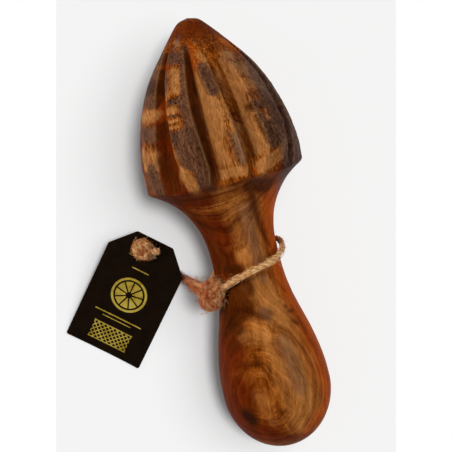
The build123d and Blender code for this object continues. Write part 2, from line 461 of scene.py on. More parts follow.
outline = [(TIP_ROUND * (1 - math.cos(a)), TIP_ROUND * math.sin(a)) for a in np.linspace(0, TIP_ARC, 60)[:-1]]
outline += spline_through((TIP_END, *HEAD_POINTS), (math.sin(TIP_ARC), math.cos(TIP_ARC)), (1, 0))
outline += [np.array(HEAD_POINTS[-1]) * (1 - way) + np.array(RIM) * way for way in np.linspace(0, 1, 50)[:-1]]
outline += spline_through((RIM, *FLARE_POINTS), (math.cos(FLARE_SLOPE), -math.sin(FLARE_SLOPE)), (1, 0))
outline += spline_through((FLARE_POINTS[-1], *HANDLE_POINTS), (1, 0), (1, 0))
bulb_station, bulb_radius = HANDLE_POINTS[-1]
outline += [
    (bulb_station + (REAMER_LENGTH - bulb_station) * math.sin(a), bulb_radius * math.cos(a))
    for a in np.linspace(0, math.pi / 2, 240)
]
outline = eased_corner(outline, RIM, RIM_ROUND * 0.6)
outline_length = np.concatenate([[0], np.cumsum(np.linalg.norm(np.diff(outline, axis=0), axis=1))])
print("outline of", len(outline), "points,", round(outline_length[-1], 1), "mm long")

# %% [markdown]
# Each flute has two edges and two floor lines. Their angles drift from the crown to the rim, as a
# carver's cuts do. The floor dips in behind the tip, is deepest at mid-length, and runs out through
# the rim. Where the floor would stand above the turned skin, the skin wins.

# %% Carved flutes
FLUTE_DEPTH = 3.5
FLUTE_LIFT = 0.6
FLUTE_EXIT = 5.0
# Each flute: depth share, start share, then rows of station, left and right edge in degrees, and
# the floor's two lines as shares of the width
FLUTES = (
    (0.85, 0.08, (
        (12, -60, -46.3, 0.4, 0.7), (17, -57, -42.5, 0.4, 0.7), (24, -53.5, -38.5, 0.35, 0.7),
        (31, -52, -36.3, 0.35, 0.7), (45, -52, -32.5, 0.3, 0.7), (52, -53, -27.6, 0.3, 0.6),
        (56, -54, -20.5, 0.3, 0.55),
    )),
    (1.00, 0.13, (
        (8, -22, -12, 0.5, 0.55), (14, -17.8, -5, 0.52, 0.56), (22, -17.2, 0.2, 0.50, 0.54),
        (30, -16.4, 5, 0.33, 0.38), (37, -13.6, 7.2, 0.28, 0.34), (44, -11.5, 8.4, 0.2, 0.28),
        (50, -10.2, 10.2, 0.15, 0.4), (56, -13.5, 13.5, 0.2, 0.7),
    )),
    (0.95, 0.19, (
        (9, 5, 22, 0.2, 0.8), (16, 10.2, 35.4, 0.14, 0.86), (23, 11.8, 35.5, 0.14, 0.90),
        (30, 13, 35.1, 0.14, 0.93), (36, 15.2, 36, 0.14, 0.88), (42, 16.4, 37.5, 0.14, 0.72),
        (47, 16.6, 36.6, 0.16, 0.6), (51, 16.0, 31, 0.2, 0.65), (56, 14.5, 24, 0.3, 0.7),
    )),
    (0.85, 0.15, (
        (18, 63.5, 75, 0.35, 0.75), (27, 61.5, 75.5, 0.35, 0.75), (39, 60.4, 72.8, 0.35, 0.75),
        (46, 57, 66.4, 0.35, 0.75), (51, 54.5, 62, 0.35, 0.75), (56, 52.5, 58.5, 0.35, 0.75),
    )),
    (0.95, 0.14, ((15, 97, 111, 0.30, 0.60), (56, 95, 114, 0.30, 0.60))),
    (1.00, 0.17, ((15, 136, 150, 0.35, 0.45), (56, 133, 152, 0.35, 0.45))),
    (0.90, 0.13, ((15, 170, 190, 0.30, 0.70), (56, 170, 190, 0.30, 0.70))),
    (1.00, 0.16, ((15, 212, 227, 0.40, 0.55), (56, 209, 228, 0.40, 0.55))),
    (0.90, 0.12, ((15, 254, 268, 0.35, 0.65), (56, 252, 271, 0.35, 0.65))),
)
DEPTH_STOPS = ((0.16, 0.55), (0.40, 1.00), (0.75, 0.92), (1.00, 0.42))
WALL_COLUMNS = 9
FLOOR_COLUMNS = 7
LAND_COLUMNS = 12
FINE_STATIONS = np.arange(-6, 80, 0.25)
SLOPE_REACH = 8


def skin_radius(station):
    return np.interp(station, outline[:, 0], outline[:, 1])


def edge_radius(station):
    """The skin's radius, held level from the rounded rim onwards."""
    return float(skin_radius(min(station, RIM[0] - RIM_ROUND)))


def eased_line(places, values, reach=17):
    """Values along the fine stations, straight between their places and then eased."""
    places, values = np.array(places, float), np.array(values, float)
    slope = (values[1] - values[0]) / (places[1] - places[0])
    rough = np.interp(FINE_STATIONS, places, values)
    ahead = FINE_STATIONS < places[0]
    rough[ahead] = values[0] + slope * np.maximum(FINE_STATIONS[ahead] - places[0], -SLOPE_REACH)
    window = np.hanning(reach)
    return np.convolve(np.pad(rough, reach // 2, mode="edge"), window / window.sum(), mode="valid")


def flute_lines(flute):
    """The edges, floor lines and floor radius of a flute at every fine station."""
    share, start_share, rows = flute
    places = [row[0] for row in rows]
    left, right, first, second = (eased_line(places, [row[i] for row in rows]) for i in range(1, 5))
    start = RIM[0] * start_share
    stops = [start] + [start + (RIM[0] - start) * along for along, _ in DEPTH_STOPS] + [RIM[0] + FLUTE_EXIT]
    depths = [FLUTE_DEPTH * share * deep for _, deep in DEPTH_STOPS]
    radii = skin_radius(np.minimum(stops, RIM[0] - RIM_ROUND)) - np.array([-FLUTE_LIFT, *depths, depths[-1]])
    floor = eased_line([stops[0] - 4, *stops], [radii[0] + 3, *radii])
    return left, right, left + (right - left) * first, left + (right - left) * second, floor


flute_tables = [flute_lines(flute) for flute in FLUTES]


def column_shares(count):
    ways = np.arange(count) / count
    return ways * 0.45 + (0.5 - 0.5 * np.cos(math.pi * ways)) * 0.55


def section(station):
    """Points round the axis at a station as (side, up), and how deep each one is cut."""
    skin = float(skin_radius(station))
    edge = edge_radius(station)
    corners = []
    for table in flute_tables:
        left, right, first, second, low = (float(np.interp(station, FINE_STATIONS, line)) for line in table)
        turns = [math.radians(angle) for angle in (left, first, second, right)]
        corners.append((turns[0], turns[3], [
            np.array((math.sin(turn), math.cos(turn))) * radius
            for turn, radius in zip(turns, (edge, low, low, edge))
        ]))
    ring = []
    for index, (left, right, points) in enumerate(corners):
        for start, end, count in ((0, 1, WALL_COLUMNS), (1, 2, FLOOR_COLUMNS), (2, 3, WALL_COLUMNS)):
            for share in column_shares(count):
                ring.append(points[start] * (1 - share) + points[end] * share)
        next_left = corners[(index + 1) % len(corners)][0] + (2 * math.pi if index == len(corners) - 1 else 0)
        for share in column_shares(LAND_COLUMNS):
            turn = right + (next_left - right) * share
            ring.append(np.array((math.sin(turn), math.cos(turn))) * edge)
    ring = np.array(ring)
    away = np.linalg.norm(ring, axis=1)
    cut = np.clip(skin - away, 0, None)
    return ring * np.minimum(1, skin / away)[:, None], cut


# %% [markdown]
# The rows stand close on the head, closest at its rim, and wide apart on the plain handle. Each row
# is a section of the reamer, made of the flutes' walls and floors and the lands between them.

# %% Rows along the outline
HEAD_ROW = 0.44
RIM_ROW = 0.30
HANDLE_ROW = 1.15
HEAD_END = 64

stops, place = [], 0.2
while place < outline_length[-1] - 0.3:
    stops.append(place)
    station = np.interp(place, outline_length, outline[:, 0])
    row = HEAD_ROW if station < HEAD_END else HANDLE_ROW
    place += row + (min(row, RIM_ROW) - row) * math.exp(-(((station - RIM[0]) / 2.5) ** 2))
stations = np.interp(stops, outline_length, outline[:, 0])
rings, cuts = (np.array(part) for part in zip(*(section(station) for station in stations)))
COLUMNS = rings.shape[1]
print("rows", len(stops), "columns", COLUMNS, "triangles", 2 * len(stops) * COLUMNS)

# %% [markdown]
# A carver's edges are never knife-sharp once they are sanded and oiled. Averaging each point with
# its neighbours rounds them a little. A slow noise then takes up to a fifth of a millimetre off the
# skin, because a hand-finished surface is never perfectly round.

# %% Sanded edges and hand-made waviness
EDGE_EASE_ACROSS, EDGE_EASE_ALONG = 0.30, 0.10
WAVINESS, RIPPLE = 0.2, 0.06

across = (np.roll(rings, 1, axis=1) + np.roll(rings, -1, axis=1)) / 2
along = rings.copy()
along[1:-1] = (rings[2:] + rings[:-2]) / 2
rings = rings + EDGE_EASE_ACROSS * (across - rings) + EDGE_EASE_ALONG * (along - rings)

AXIS = np.array((0, math.cos(REAMER_TILT), math.sin(REAMER_TILT)))
UPRIGHT = np.array((0, -math.sin(REAMER_TILT), math.cos(REAMER_TILT)))
ACROSS = np.array((1.0, 0, 0))


def on_wood(side, up, station):
    """A point of the object, in millimetres, from its place in a section of the reamer."""
    return REAMER_TIP - AXIS * station + ACROSS * side + UPRIGHT * up


# The chamfer that the carver left under the bark: angle, station of its upper line
CHAMFER = ((28, 53.5), (31, 51.0), (35, 49.2), (43.5, 47.6), (54, 46.0), (57, 47.5), (60, 54))
CHAMFER_START, CHAMFER_END = 44, 60
CHAMFER_DEPTH, CHAMFER_FADE = 1.5, 4


def chamfer_dent(side, up, station):
    angle = math.degrees(math.atan2(side, up))
    first, last = CHAMFER[0][0], CHAMFER[-1][0]
    if not first < angle < last or not CHAMFER_START < station < CHAMFER_END:
        return 0.0
    upper = np.interp(angle, *zip(*CHAMFER))
    way = min(max((station - upper) / (RIM[0] - upper), 0), 1) if upper < RIM[0] else 0
    return CHAMFER_DEPTH * way * min(1, (angle - first) / CHAMFER_FADE, (last - angle) / CHAMFER_FADE)


# What is left of the bark, as strokes: from angle and station, to angle and station, half width, depth
BARK = (
    (37, 33, 39, 47, 1.6, 0.55), (43, 41, 49, 45, 2.4, 0.8), (41, 34, 56, 35, 2.6, 0.4),
    (50, 37, 56, 43, 2.0, 0.45), (76, 30, 70, 53, 5.5, 0.35),
)
STROKE_FADE, STROKE_POWER = 0.7, 2.2


def mark_values(marks, angles, rows):
    """The strength of the strokes at every point of the grid."""
    total = np.zeros(angles.shape)
    for angle, station, end_angle, end_station, width, strength in marks:
        girth = float(skin_radius((station + end_station) / 2)) * math.pi / 180
        across = ((angles - angle + 180) % 360 - 180) * girth
        ahead = rows - station
        reach = np.array(((end_angle - angle) * girth, end_station - station))
        way = np.clip((across * reach[0] + ahead * reach[1]) / max(reach.dot(reach), 1e-6), 0, 1)
        away = np.hypot(across - reach[0] * way, ahead - reach[1] * way)
        total = np.maximum(total, strength * np.exp(-STROKE_FADE * (away / width) ** STROKE_POWER))
    return total


angles = np.degrees(np.arctan2(rings[:, :, 0], rings[:, :, 1]))
rows = np.repeat(stations[:, None], COLUMNS, axis=1)
bark = mark_values(BARK, angles, rows)

vertices = []
for ring, station, rough_row in zip(rings, stations, bark):
    edge = edge_radius(station)
    for (side, up), rough in zip(ring, rough_row):
        place = Vector(on_wood(side, up, station))
        dent = WAVINESS * (0.5 + 0.5 * noise.noise(place * 0.07)) + RIPPLE * noise.noise(place * 0.35)
        away = max(math.hypot(side, up), 3)
        if rough > 0.02:
            dent += rough * (0.45 + 0.9 * noise.noise(place * 0.55) + 0.5 * noise.noise(place * 1.3))
        dent = max(dent, 0) * min(1, station / 8)
        dent += max(chamfer_dent(side, up, station) - (edge - away), 0)
        shrink = 1 - dent / away
        place = on_wood(side * shrink, up * shrink, station)
        vertices.append((place[0], place[1], max(place[2], 0.0)))
print("lowest point", round(min(vertex[2] for vertex in vertices), 3), "mm")

# %% [markdown]
# Olive wood is known for its figure: dark smoky patches, gold flames and a few knots, which no plain
# noise puts in the right places. Five lists name each mark by its angle round the axis, its
# station from the tip and its size, and every mark becomes a soft value on the mesh. Besides the
# figure, the lists hold painted light and shade: painted shade on the left side, under the rim and on
# shaded flute walls, painted light on lit flute walls, painted rim light on the right edges, and
# painted sheen and reflection. The material breaks those soft values up with noise, so that no mark
# has a drawn outline.

# %% Marks of the wood's figure, and painted light and shade
# Each mark is a soft stroke: from angle and station, to angle and station, half width, strength
MARKS = {
    # Dark figure, and painted shade: the strokes at -16 to -10 degrees on a flute's left wall, at 12.6
    # degrees at a flute's foot, at -47 to -42 degrees in the flute on the left, at station 58 under the rim
    # and at -62 to -40 degrees on the neck's left side
    "dark": (
        (-80, 11, -52, 12, 1.5, 1.4), (-80, 19.5, -53, 20, 4.2, 1.8), (-66, 25, -53, 25.5, 1.2, 1.2),
        (-74, 34, -54, 35, 2.6, 1.0), (-60, 47, -57, 53, 3.0, 1.2), (-72, 48, -70, 52, 1.5, 0.8),
        (-47, 33, -42, 36, 2.0, 0.8), (-46, 44, -43, 53, 3.0, 0.8), (-42, 11.5, -26, 12.5, 1.8, 1.0),
        (-20, 10, -18, 30, 1.5, 0.8), (-33, 26, -19, 26, 1.0, 1.1), (-35, 30.3, -26, 30.6, 0.4, 0.9),
        (-24, 26, -17, 34, 1.8, 0.8), (-35, 37.4, -18, 38, 2.1, 1.2), (-26, 42, -17, 46, 2.8, 1.1),
        (-18, 36, -14, 54, 2.6, 1.5), (-27, 46, -22, 48, 1.3, 0.9), (-16, 11, -13, 30, 1.9, 1.3),
        (-13.5, 30, -10.5, 52, 2.4, 1.7), (3, 18, 7, 25, 1.9, 1.5), (2, 8, 8, 9, 1.0, 0.5),
        (9, 40, 11, 50, 0.9, 0.6), (14, 34.5, 26, 34.2, 0.8, 0.7), (18, 36, 26, 38, 0.6, 0.7),
        (12.6, 18, 16.5, 50, 0.6, 0.7), (24.5, 16, 24, 47, 1.5, 0.56), (37, 33.5, 44, 33, 1.8, 0.9),
        (38.5, 37, 39.5, 46, 1.6, 1.0), (42, 41, 46, 46, 1.8, 1.2), (47, 40, 49, 42, 1.4, 0.9),
        (50, 33, 56, 40, 2.2, 0.7), (38, 47, 42, 47.5, 0.8, 1.0), (18, 58, 40, 60, 2.4, 1.1),
        (20, 60, 30, 69, 1.6, 0.8), (30, 69, 39, 75, 1.2, 0.75), (39, 75, 49, 80, 1.0, 0.75),
        (-62, 64, -48, 70, 3.0, 0.7), (-60, 58, -20, 58, 1.4, 0.6), (-54, 84, -15, 85.5, 1.8, 1.0),
        (-62, 76, -40, 82, 3.0, 0.8), (-50, 93, -12, 91.5, 3.2, 1.2), (-58, 99, -20, 98, 3.6, 1.3),
        (-62, 104, -34, 104, 2.6, 1.1), (-50, 110, -38, 110, 2.0, 0.7), (0, 101, 12, 102, 2.0, 0.5),
        (-44, 116.3, -14, 116, 0.7, 0.65), (-14, 116, -2, 123.5, 0.8, 0.7), (-5, 124.5, 1, 125, 0.5, 0.5),
        (-41, 133.6, -38, 135.2, 2.1, 3.0), (44, 103, 52, 103.5, 0.9, 0.75),
        (42, 106.5, 50, 107.5, 0.9, 0.7), (40, 101, 44, 101, 0.5, 0.6), (50, 95, 56, 97, 0.5, 0.6),
        (45, 92, 50, 95, 0.5, 0.5), (55, 106, 58, 112, 0.8, 0.6), (60, 115, 62, 120, 1.0, 0.5),
        (-10, 139, -6, 140, 0.6, 0.6), (-25, 142, 0, 144, 0.8, 0.4),
    ),
    # Gold figure, and painted light: the strokes at -4 to 1 and at 30.5 to 32 degrees on lit flute walls, at
    # 9.5 to 14 degrees along a lit flute edge and at station 52 below the flutes; those at 10 to 22 degrees
    # on the neck and 8 to 21 degrees on the handle are painted sheen
    "pale": (
        (-75, 28.5, -54, 29, 2.0, 0.95), (-70, 44.5, -55, 45, 2.2, 0.8), (-41, 7, -30, 8, 1.2, 0.5),
        (-40, 17, -37, 24, 1.5, 0.5), (-30, 17, -25, 22, 1.9, 0.95), (-35, 28.5, -28, 28.7, 1.1, 1.0),
        (-36, 32, -24, 32.2, 0.5, 0.8), (-35, 34, -27, 34.2, 0.5, 0.8), (-33, 42.5, -30, 42.8, 1.5, 0.9),
        (-29, 50, -25, 54, 2.4, 1.1), (-4, 21, -2, 27, 2.4, 1.0), (-4, 29, -1, 38, 2.8, 1.6),
        (-2, 38, 1, 48, 3.2, 0.7), (-7, 52, 13, 52.5, 1.5, 1.1), (3, 13, 6, 15, 1.5, 0.6),
        (9.5, 17, 10.5, 25, 0.5, 0.8), (5, 28, 8, 34, 1.7, 0.9), (11, 28, 13.5, 38, 0.6, 0.9),
        (12, 40, 14, 50, 1.0, 0.8), (18, 20, 20, 28, 2.0, 0.5), (18, 38, 22, 39.5, 1.6, 0.6),
        (30.5, 17, 31, 34, 1.3, 1.3), (32, 35, 31.5, 46, 2.2, 1.5), (12, 22, 13.5, 45, 0.6, 1.4),
        (28, 48, 33, 49, 1.2, 0.8), (36, 15, 46, 15.5, 1.4, 0.8), (36, 20, 56, 22, 2.8, 0.85),
        (38, 26, 56, 27, 2.6, 0.75), (44, 38.3, 45.5, 38.3, 0.8, 1.5), (48, 45.5, 51, 42, 0.4, 1.1),
        (28, 52.8, 45, 50.6, 1.5, 2.2), (45, 50.6, 53, 46.4, 1.2, 2.0), (-74, 41, -56, 42, 3.0, 0.7),
        (-14, 57, 10, 57.5, 1.0, 0.5), (-10, 81, 0, 83, 1.8, 0.4), (10, 64, 22, 84, 4.6, 0.6),
        (-2, 83.5, 4, 83.5, 1.2, 0.6), (-4, 90, 20, 92, 2.6, 1.4), (14, 93, 28, 104, 3.8, 1.4),
        (-18, 101, -6, 104, 0.7, 0.7), (-28, 106.5, -4, 108.5, 2.2, 0.7), (-8, 107, 16, 113, 2.4, 0.75),
        (2, 112, 12, 119, 1.6, 0.8), (8, 117, 12, 140, 3.0, 0.7), (20, 112, 21, 140, 4.0, 0.85),
        (30, 112, 29, 138, 3.0, 0.75), (40, 108, 42, 134, 3.0, 0.5), (-20, 128, -14, 133, 2.6, 0.3),
        (-14, 137, -4, 136, 2.0, 0.3), (42, 112, 52, 122, 1.6, 0.4),
    ),
    # Deep red: partly the wood's own colour, partly painted shade along the left side from tip to handle end
    # and just under the rim
    "red_and_shade": (
        (-90, 58.5, -24, 58, 4.0, 1.3), (-86, 8, -82, 52, 3.4, 1.2), (-90, 72, -40, 72, 7.0, 1.3),
        (-90, 82, -50, 82, 7.0, 1.2), (-95, 96, -60, 98, 6.0, 1.3), (-95, 112, -54, 112, 8.0, 1.4),
        (-95, 126, -50, 126, 8.0, 1.3), (-90, 134, -52, 134, 7.0, 1.3), (-90, 140, -24, 141, 4.5, 1.2),
        (-47, 12, -44, 54, 4.0, 1.3), (-80, 4, 60, 4, 4.2, 0.8), (48, 57, 84, 60, 3.2, 1.2),
        (-34, 143, 30, 146, 3.0, 0.9), (-10, 57, 12, 58, 2.0, 0.6), (14, 6, 30, 10, 3.0, 0.6),
        (-35, 57.5, -12, 57, 1.6, 0.9),
    ),
    # Bright orange: partly the wood's own colour, partly painted rim light along the right edges of the
    # flare, the neck and the handle, and painted light in a shaded flute at 54 to 62 degrees
    "orange_and_rim_light": (
        (62, 64, 66, 80, 5.0, 1.1), (-48, 12, -46, 30, 3.0, 0.55), (-6, 10, -3, 20, 2.4, 0.6),
        (46, 64, 58, 76, 2.6, 0.9), (66, 86, 64, 102, 4.6, 1.2), (70, 104, 68, 126, 6.4, 1.2),
        (60, 116, 62, 136, 4.6, 1.0), (56, 138, 30, 143, 3.0, 0.9), (62, 16, 60.5, 38, 0.7, 1.3),
        (60, 39, 54.5, 45.5, 0.6, 1.3), (52, 10, 62, 14, 2.0, 0.6), (34, 52.5, 20, 53.5, 0.8, 0.7),
        (90, 70, 95, 120, 8.0, 0.7),
    ),
    # Grey: partly the wood's own grey cast, mostly painted sheen and reflection: the panel at 67 to 80
    # degrees is a painted reflection, and the strokes on the lands, the neck and the handle are painted sheen
    "grey": (
        (-34, 38, -22, 38, 2.2, 0.5), (67, 26, 70, 54, 7.0, 2.0), (70, 20, 80, 28, 4.0, 1.4),
        (-42, 12, -26, 12.5, 2.0, 0.6), (12, 41, 13.5, 50, 1.0, 0.7), (38, 30, 56, 34, 4.0, 0.35),
        (42, 17, 54, 28, 4.5, 0.5), (16, 66, 20, 84, 3.0, 0.5), (5, 101, 12, 102, 2.2, 0.6),
        (18, 90, 22, 91, 1.6, 0.5), (20, 112, 24, 128, 3.4, 0.5), (-30, 6, -36, 9, 1.4, 0.5),
        (4, 20, 6, 24, 1.6, 0.5),
    ),
}
# The far side's marks: seed, count, range of half widths, range of strengths
FAR_SIDE = {
    "dark": (5, 26, (1.2, 4.0), (0.5, 1.0)),
    "pale": (6, 26, (1.2, 3.5), (0.5, 1.0)),
    "red_and_shade": (7, 10, (3.0, 6.0), (0.5, 1.0)),
    "orange_and_rim_light": (8, 8, (3.0, 6.0), (0.4, 0.8)),
    "grey": (9, 8, (2.0, 4.0), (0.3, 0.6)),
}
FAR_ANGLES, FAR_STATIONS = (88, 272), (8, 144)


def far_side_marks(seed, count, widths, strengths):
    """Marks for the sides that the photograph doesn't show, set down at random along the grain."""
    random = np.random.default_rng(seed)
    marks = []
    for _ in range(count):
        angle, station = random.uniform(*FAR_ANGLES), random.uniform(*FAR_STATIONS)
        marks.append((
            angle, station, angle + random.uniform(-14, 14), station + random.uniform(2, 9),
            random.uniform(*widths), random.uniform(*strengths),
        ))
    return tuple(marks)


figure_and_painted_light = {
    name: mark_values(marks + far_side_marks(*FAR_SIDE[name]), angles, rows) for name, marks in MARKS.items()
}
# The head's look fades out from station 54 to 58; the bare tip is smooth, as the carved faces are
figure_and_painted_light["head"] = np.clip((58 - rows) / 4, 0, 1)
figure_and_painted_light["carved"] = np.maximum(np.clip(cuts / 0.8, 0, 1), np.clip((11 - rows) / 5, 0, 1))
# A painted highlight on the convex ridges between the carved faces, and painted shade in the concave creases,
# from how sharply each ring turns
bend = np.roll(rings, 1, axis=1) + np.roll(rings, -1, axis=1) - 2 * rings
outwards = rings / np.linalg.norm(rings, axis=2)[:, :, None]
turn = (bend * outwards).sum(axis=2) / np.linalg.norm(np.roll(rings, 1, axis=1) - rings, axis=2)
figure_and_painted_light["ridge_highlight"] = np.clip((-turn - 0.12) * 4, 0, 1) * (rows < RIM[0] - 0.5) * np.clip((rows - 8) / 6, 0, 1)
figure_and_painted_light["crease_shade"] = np.clip((turn - 0.08) * 4, 0, 1) * (rows < RIM[0] + 2)
figure_and_painted_light["bark"] = np.clip(bark * 1.6, 0, 1)
print("marks:", sum(len(marks) for marks in MARKS.values()))

# %% [markdown]
# The grid becomes one closed mesh: a point closes the tip, another the end of the handle. It also
# carries the wood's figure and the painted light and shade, one value of each kind for every point.

# %% Reamer mesh
vertices += [tuple(on_wood(0, 0, 0.02)), tuple(on_wood(0, 0, REAMER_LENGTH - 0.03))]
wood_mesh = bpy.data.meshes.new("reamer_wood")
vertices = [tuple(value * MM for value in vertex) for vertex in vertices]
wood_mesh.from_pydata(vertices, [], tube_faces(len(stops), COLUMNS))
for name, values in figure_and_painted_light.items():
    store(wood_mesh, name, np.append(values.ravel(), [values[0].mean(), values[-1].mean()]))
faced_outwards(wood_mesh)
reamer = placed("reamer_wood", wood_mesh)
print("reamer box", [round(value, 4) for corner in (0, 6) for value in reamer.bound_box[corner]])

# %% [markdown]
# Three finishes share one effect: fine specks. They are pores in the wood, bits of bark in the
# twine and dust on the card. So the effect is a node group with its own size and amount, and each
# material puts it in with other values.

# %% Fine specks, shared by the finishes


def speck_group():
    group = bpy.data.node_groups.new("fine_specks", "ShaderNodeTree")
    group.interface.new_socket("Vector", in_out="INPUT", socket_type="NodeSocketVector")
    size = group.interface.new_socket("Size", in_out="INPUT", socket_type="NodeSocketFloat")
    amount = group.interface.new_socket("Amount", in_out="INPUT", socket_type="NodeSocketFloat")
    size.default_value, amount.default_value = 0.4, 0.3
    group.interface.new_socket("Mask", in_out="OUTPUT", socket_type="NodeSocketFloat")
    entry = group.nodes.new("NodeGroupInput")
    leave = group.nodes.new("NodeGroupOutput")
    scale = math_node("DIVIDE", 1.0, entry.outputs["Size"])
    grain = noise_at(entry.outputs["Vector"], scale, 3.0, 0.7)
    above = minus(grain, minus(0.72, entry.outputs["Amount"]))
    set_inputs(leave, {0: times(above, 9.0, clamp=True)})
    return group


SPECKS = speck_group()


def specks(vector, size, amount):
    inputs = {"Vector": vector, "Size": size, "Amount": amount}
    return add_node(vector.id_data, "ShaderNodeGroup", inputs, node_tree=SPECKS).outputs["Mask"]


# %% [markdown]
# The wood pattern starts from the tree it came from. Growth rings are shells round a pith line that
# runs behind the handle, so a bulging handle cuts them into nested ovals. Fine fibres run along the
# axis, pores sit in them, and the marks above darken, lighten or redden the colour, part of them as
# painted shade, painted light and painted sheen. The ridges get a painted highlight and the creases
# painted shade. A satin oil finish gives the soft sheen.

# %% Olive wood material


def broken_up(mask, grain, reach, sharp):
    """A soft mask with its outline broken by a noise."""
    moved = times(minus(grain, 0.5), reach)
    total = plus(mask, times(moved, times(mask, 3.0, clamp=True)))
    return plus(times(minus(total, 0.5), sharp), 0.5, clamp=True)


olive_wood, tree, shader = new_material("olive_wood")
tip_turned = (
    REAMER_TIP[1] * math.cos(REAMER_TILT) + REAMER_TIP[2] * math.sin(REAMER_TILT),
    REAMER_TIP[2] * math.cos(REAMER_TILT) - REAMER_TIP[1] * math.sin(REAMER_TILT),
)
from_tip = (0, -tip_turned[0], -tip_turned[1])
place = in_millimetres(tree, Rotation=(-REAMER_TILT, 0, 0), Location=from_tip)
slow = add_node(tree, "ShaderNodeTexNoise", {"Vector": place, "Scale": 0.06, "Detail": 2.0})
drift = vector_math(tree, "SUBTRACT", {0: slow.outputs["Color"], 1: (0.5, 0.5, 0.5)})
drift = vector_math(tree, "SCALE", {0: drift, "Scale": 3.6})
warped = vector_math(tree, "ADD", {0: place, 1: drift})

# Growth rings: distance from the pith line, which runs behind the handle
PITH_SIDE, PITH_UP = 6.2, -17.0
parts = add_node(tree, "ShaderNodeSeparateXYZ", {0: warped})
side = minus(parts.outputs[0], PITH_SIDE)
up = minus(parts.outputs[2], PITH_UP)
reach = math_node("SQRT", plus(times(side, side), times(up, up)))
inputs = {"W": reach, "Scale": 0.85, "Detail": 2.0, "Roughness": 0.55}
rings_tone = add_node(tree, "ShaderNodeTexNoise", inputs, noise_dimensions="1D").outputs[0]
inputs = {0: times(reach, 4.5), 1: times(parts.outputs[1], 0.07), 2: times(side, 0.05)}
ring_place = add_node(tree, "ShaderNodeCombineXYZ", inputs).outputs[0]
fine_rings = noise_at(ring_place, 1.0, 4.0, 0.7)

# Fibres and smoke along the grain, and a pepper of pores
fibres = noise_at(stretched(warped, (1.0, 0.09, 1.0)), 1.7, 4.0, 0.7)
smoke = noise_at(stretched(warped, (1.0, 0.35, 1.0)), 0.32, 5.0, 0.66)
pepper = noise_at(stretched(place, (1.0, 0.42, 1.0)), 1.9, 3.0, 0.75)
pores = specks(stretched(place, (1.0, 0.4, 1.0)), 0.42, 0.13)
on_head = attribute(tree, "head")
on_land = times(on_head, minus(1.0, attribute(tree, "carved")))

ring_share = times(minus(rings_tone, 0.5), minus(0.38, times(on_head, 0.32)))
tone = plus(0.5, ring_share)
inputs = {0: plus(times(on_head, 0.6), 0.4), 2: fine_rings, 3: fibres}
streaks = add_node(tree, "ShaderNodeMix", inputs).outputs[0]
tone = plus(tone, times(minus(streaks, 0.5), 0.85))
tone = plus(tone, times(minus(smoke, 0.5), 0.55))
speckle = times(minus(pepper, 0.5), plus(0.25, times(on_land, 0.75)))
tone = plus(tone, speckle)
base = ramp_node(tone, (
    (0.20, (46, 15, 2)), (0.38, (92, 39, 6)), (0.50, (132, 66, 15)),
    (0.62, (168, 95, 32)), (0.80, (212, 146, 76)),
))


def toned(low, high):
    """A colour that follows the wood's own tone between two levels."""
    return ramp_node(tone, ((0.22, low), (0.78, high)))


ragged = plus(times(smoke, 0.6), times(streaks, 0.4))
red_and_shade_mask = broken_up(attribute(tree, "red_and_shade"), ragged, 0.6, 1.2)
orange_and_rim_light_mask = broken_up(attribute(tree, "orange_and_rim_light"), ragged, 0.6, 1.2)
pale_and_light_mask = broken_up(attribute(tree, "pale"), ragged, 1.3, plus(1.1, on_head))
grey_and_sheen_mask = broken_up(attribute(tree, "grey"), pepper, 0.7, 1.6)
dark_and_shade_mask = broken_up(attribute(tree, "dark"), ragged, 1.3, plus(1.5, on_head))
# The marks mix in the wood's own colours together with painted light and shade: painted shade in the deep red
# and the dark, painted rim light in the bright orange, painted light and sheen in the pale, painted sheen and
# reflection in the grey
colour = mix_colour(times(red_and_shade_mask, 0.92), base, toned((40, 7, 1), (118, 38, 4)))
colour = mix_colour(times(orange_and_rim_light_mask, 0.85), colour, toned((122, 30, 1), (212, 100, 17)))
pale_colour = mix_colour(on_head, toned((130, 68, 18), (212, 144, 76)), toned((132, 72, 26), (208, 146, 84)))
colour = mix_colour(times(pale_and_light_mask, 0.75), colour, pale_colour)
colour = mix_colour(times(grey_and_sheen_mask, 0.75), colour, toned((30, 25, 25), (102, 89, 84)))
# On the head's lands the dark colour is greyer: partly the wood's own grey cast, partly painted sheen
dark_colour = mix_colour(on_land, toned((34, 11, 1), (98, 42, 9)), toned((24, 10, 6), (126, 84, 60)))
colour = mix_colour(times(dark_and_shade_mask, 0.92), colour, dark_colour)
# The strongest dark marks go darker still: a knot, dark figure, and the painted shade on a flute's left wall
darkest = minus(attribute(tree, "dark"), 1.15, clamp=True)
colour = mix_colour(times(darkest, 0.8), colour, toned((18, 5, 2), (54, 25, 12)))
inputs = {"Vector": warped, "Scale": 0.55, "Randomness": 1.0}
cracks = add_node(tree, "ShaderNodeTexVoronoi", inputs, feature="DISTANCE_TO_EDGE").outputs["Distance"]
cracks = minus(1.0, times(cracks, 9.0), clamp=True)
bark_mask = attribute(tree, "bark")
colour = mix_colour(times(cracks, times(bark_mask, 0.7)), colour, (24, 12, 8))
# Painted highlight along the ridges, and painted shade in the creases
colour = mix_colour(times(attribute(tree, "ridge_highlight"), times(pepper, 0.35)), colour, (206, 146, 92))
colour = mix_colour(times(attribute(tree, "crease_shade"), 0.35), colour, (52, 17, 3))
colour = mix_colour(times(pores, 0.5), colour, (44, 20, 8))
set_inputs(shader, {
    "Base Color": colour, "Roughness": plus(times(fibres, 0.3), 0.32), "IOR": 1.07,
    "Specular Tint": (1.0, 0.7, 0.45, 1),
})

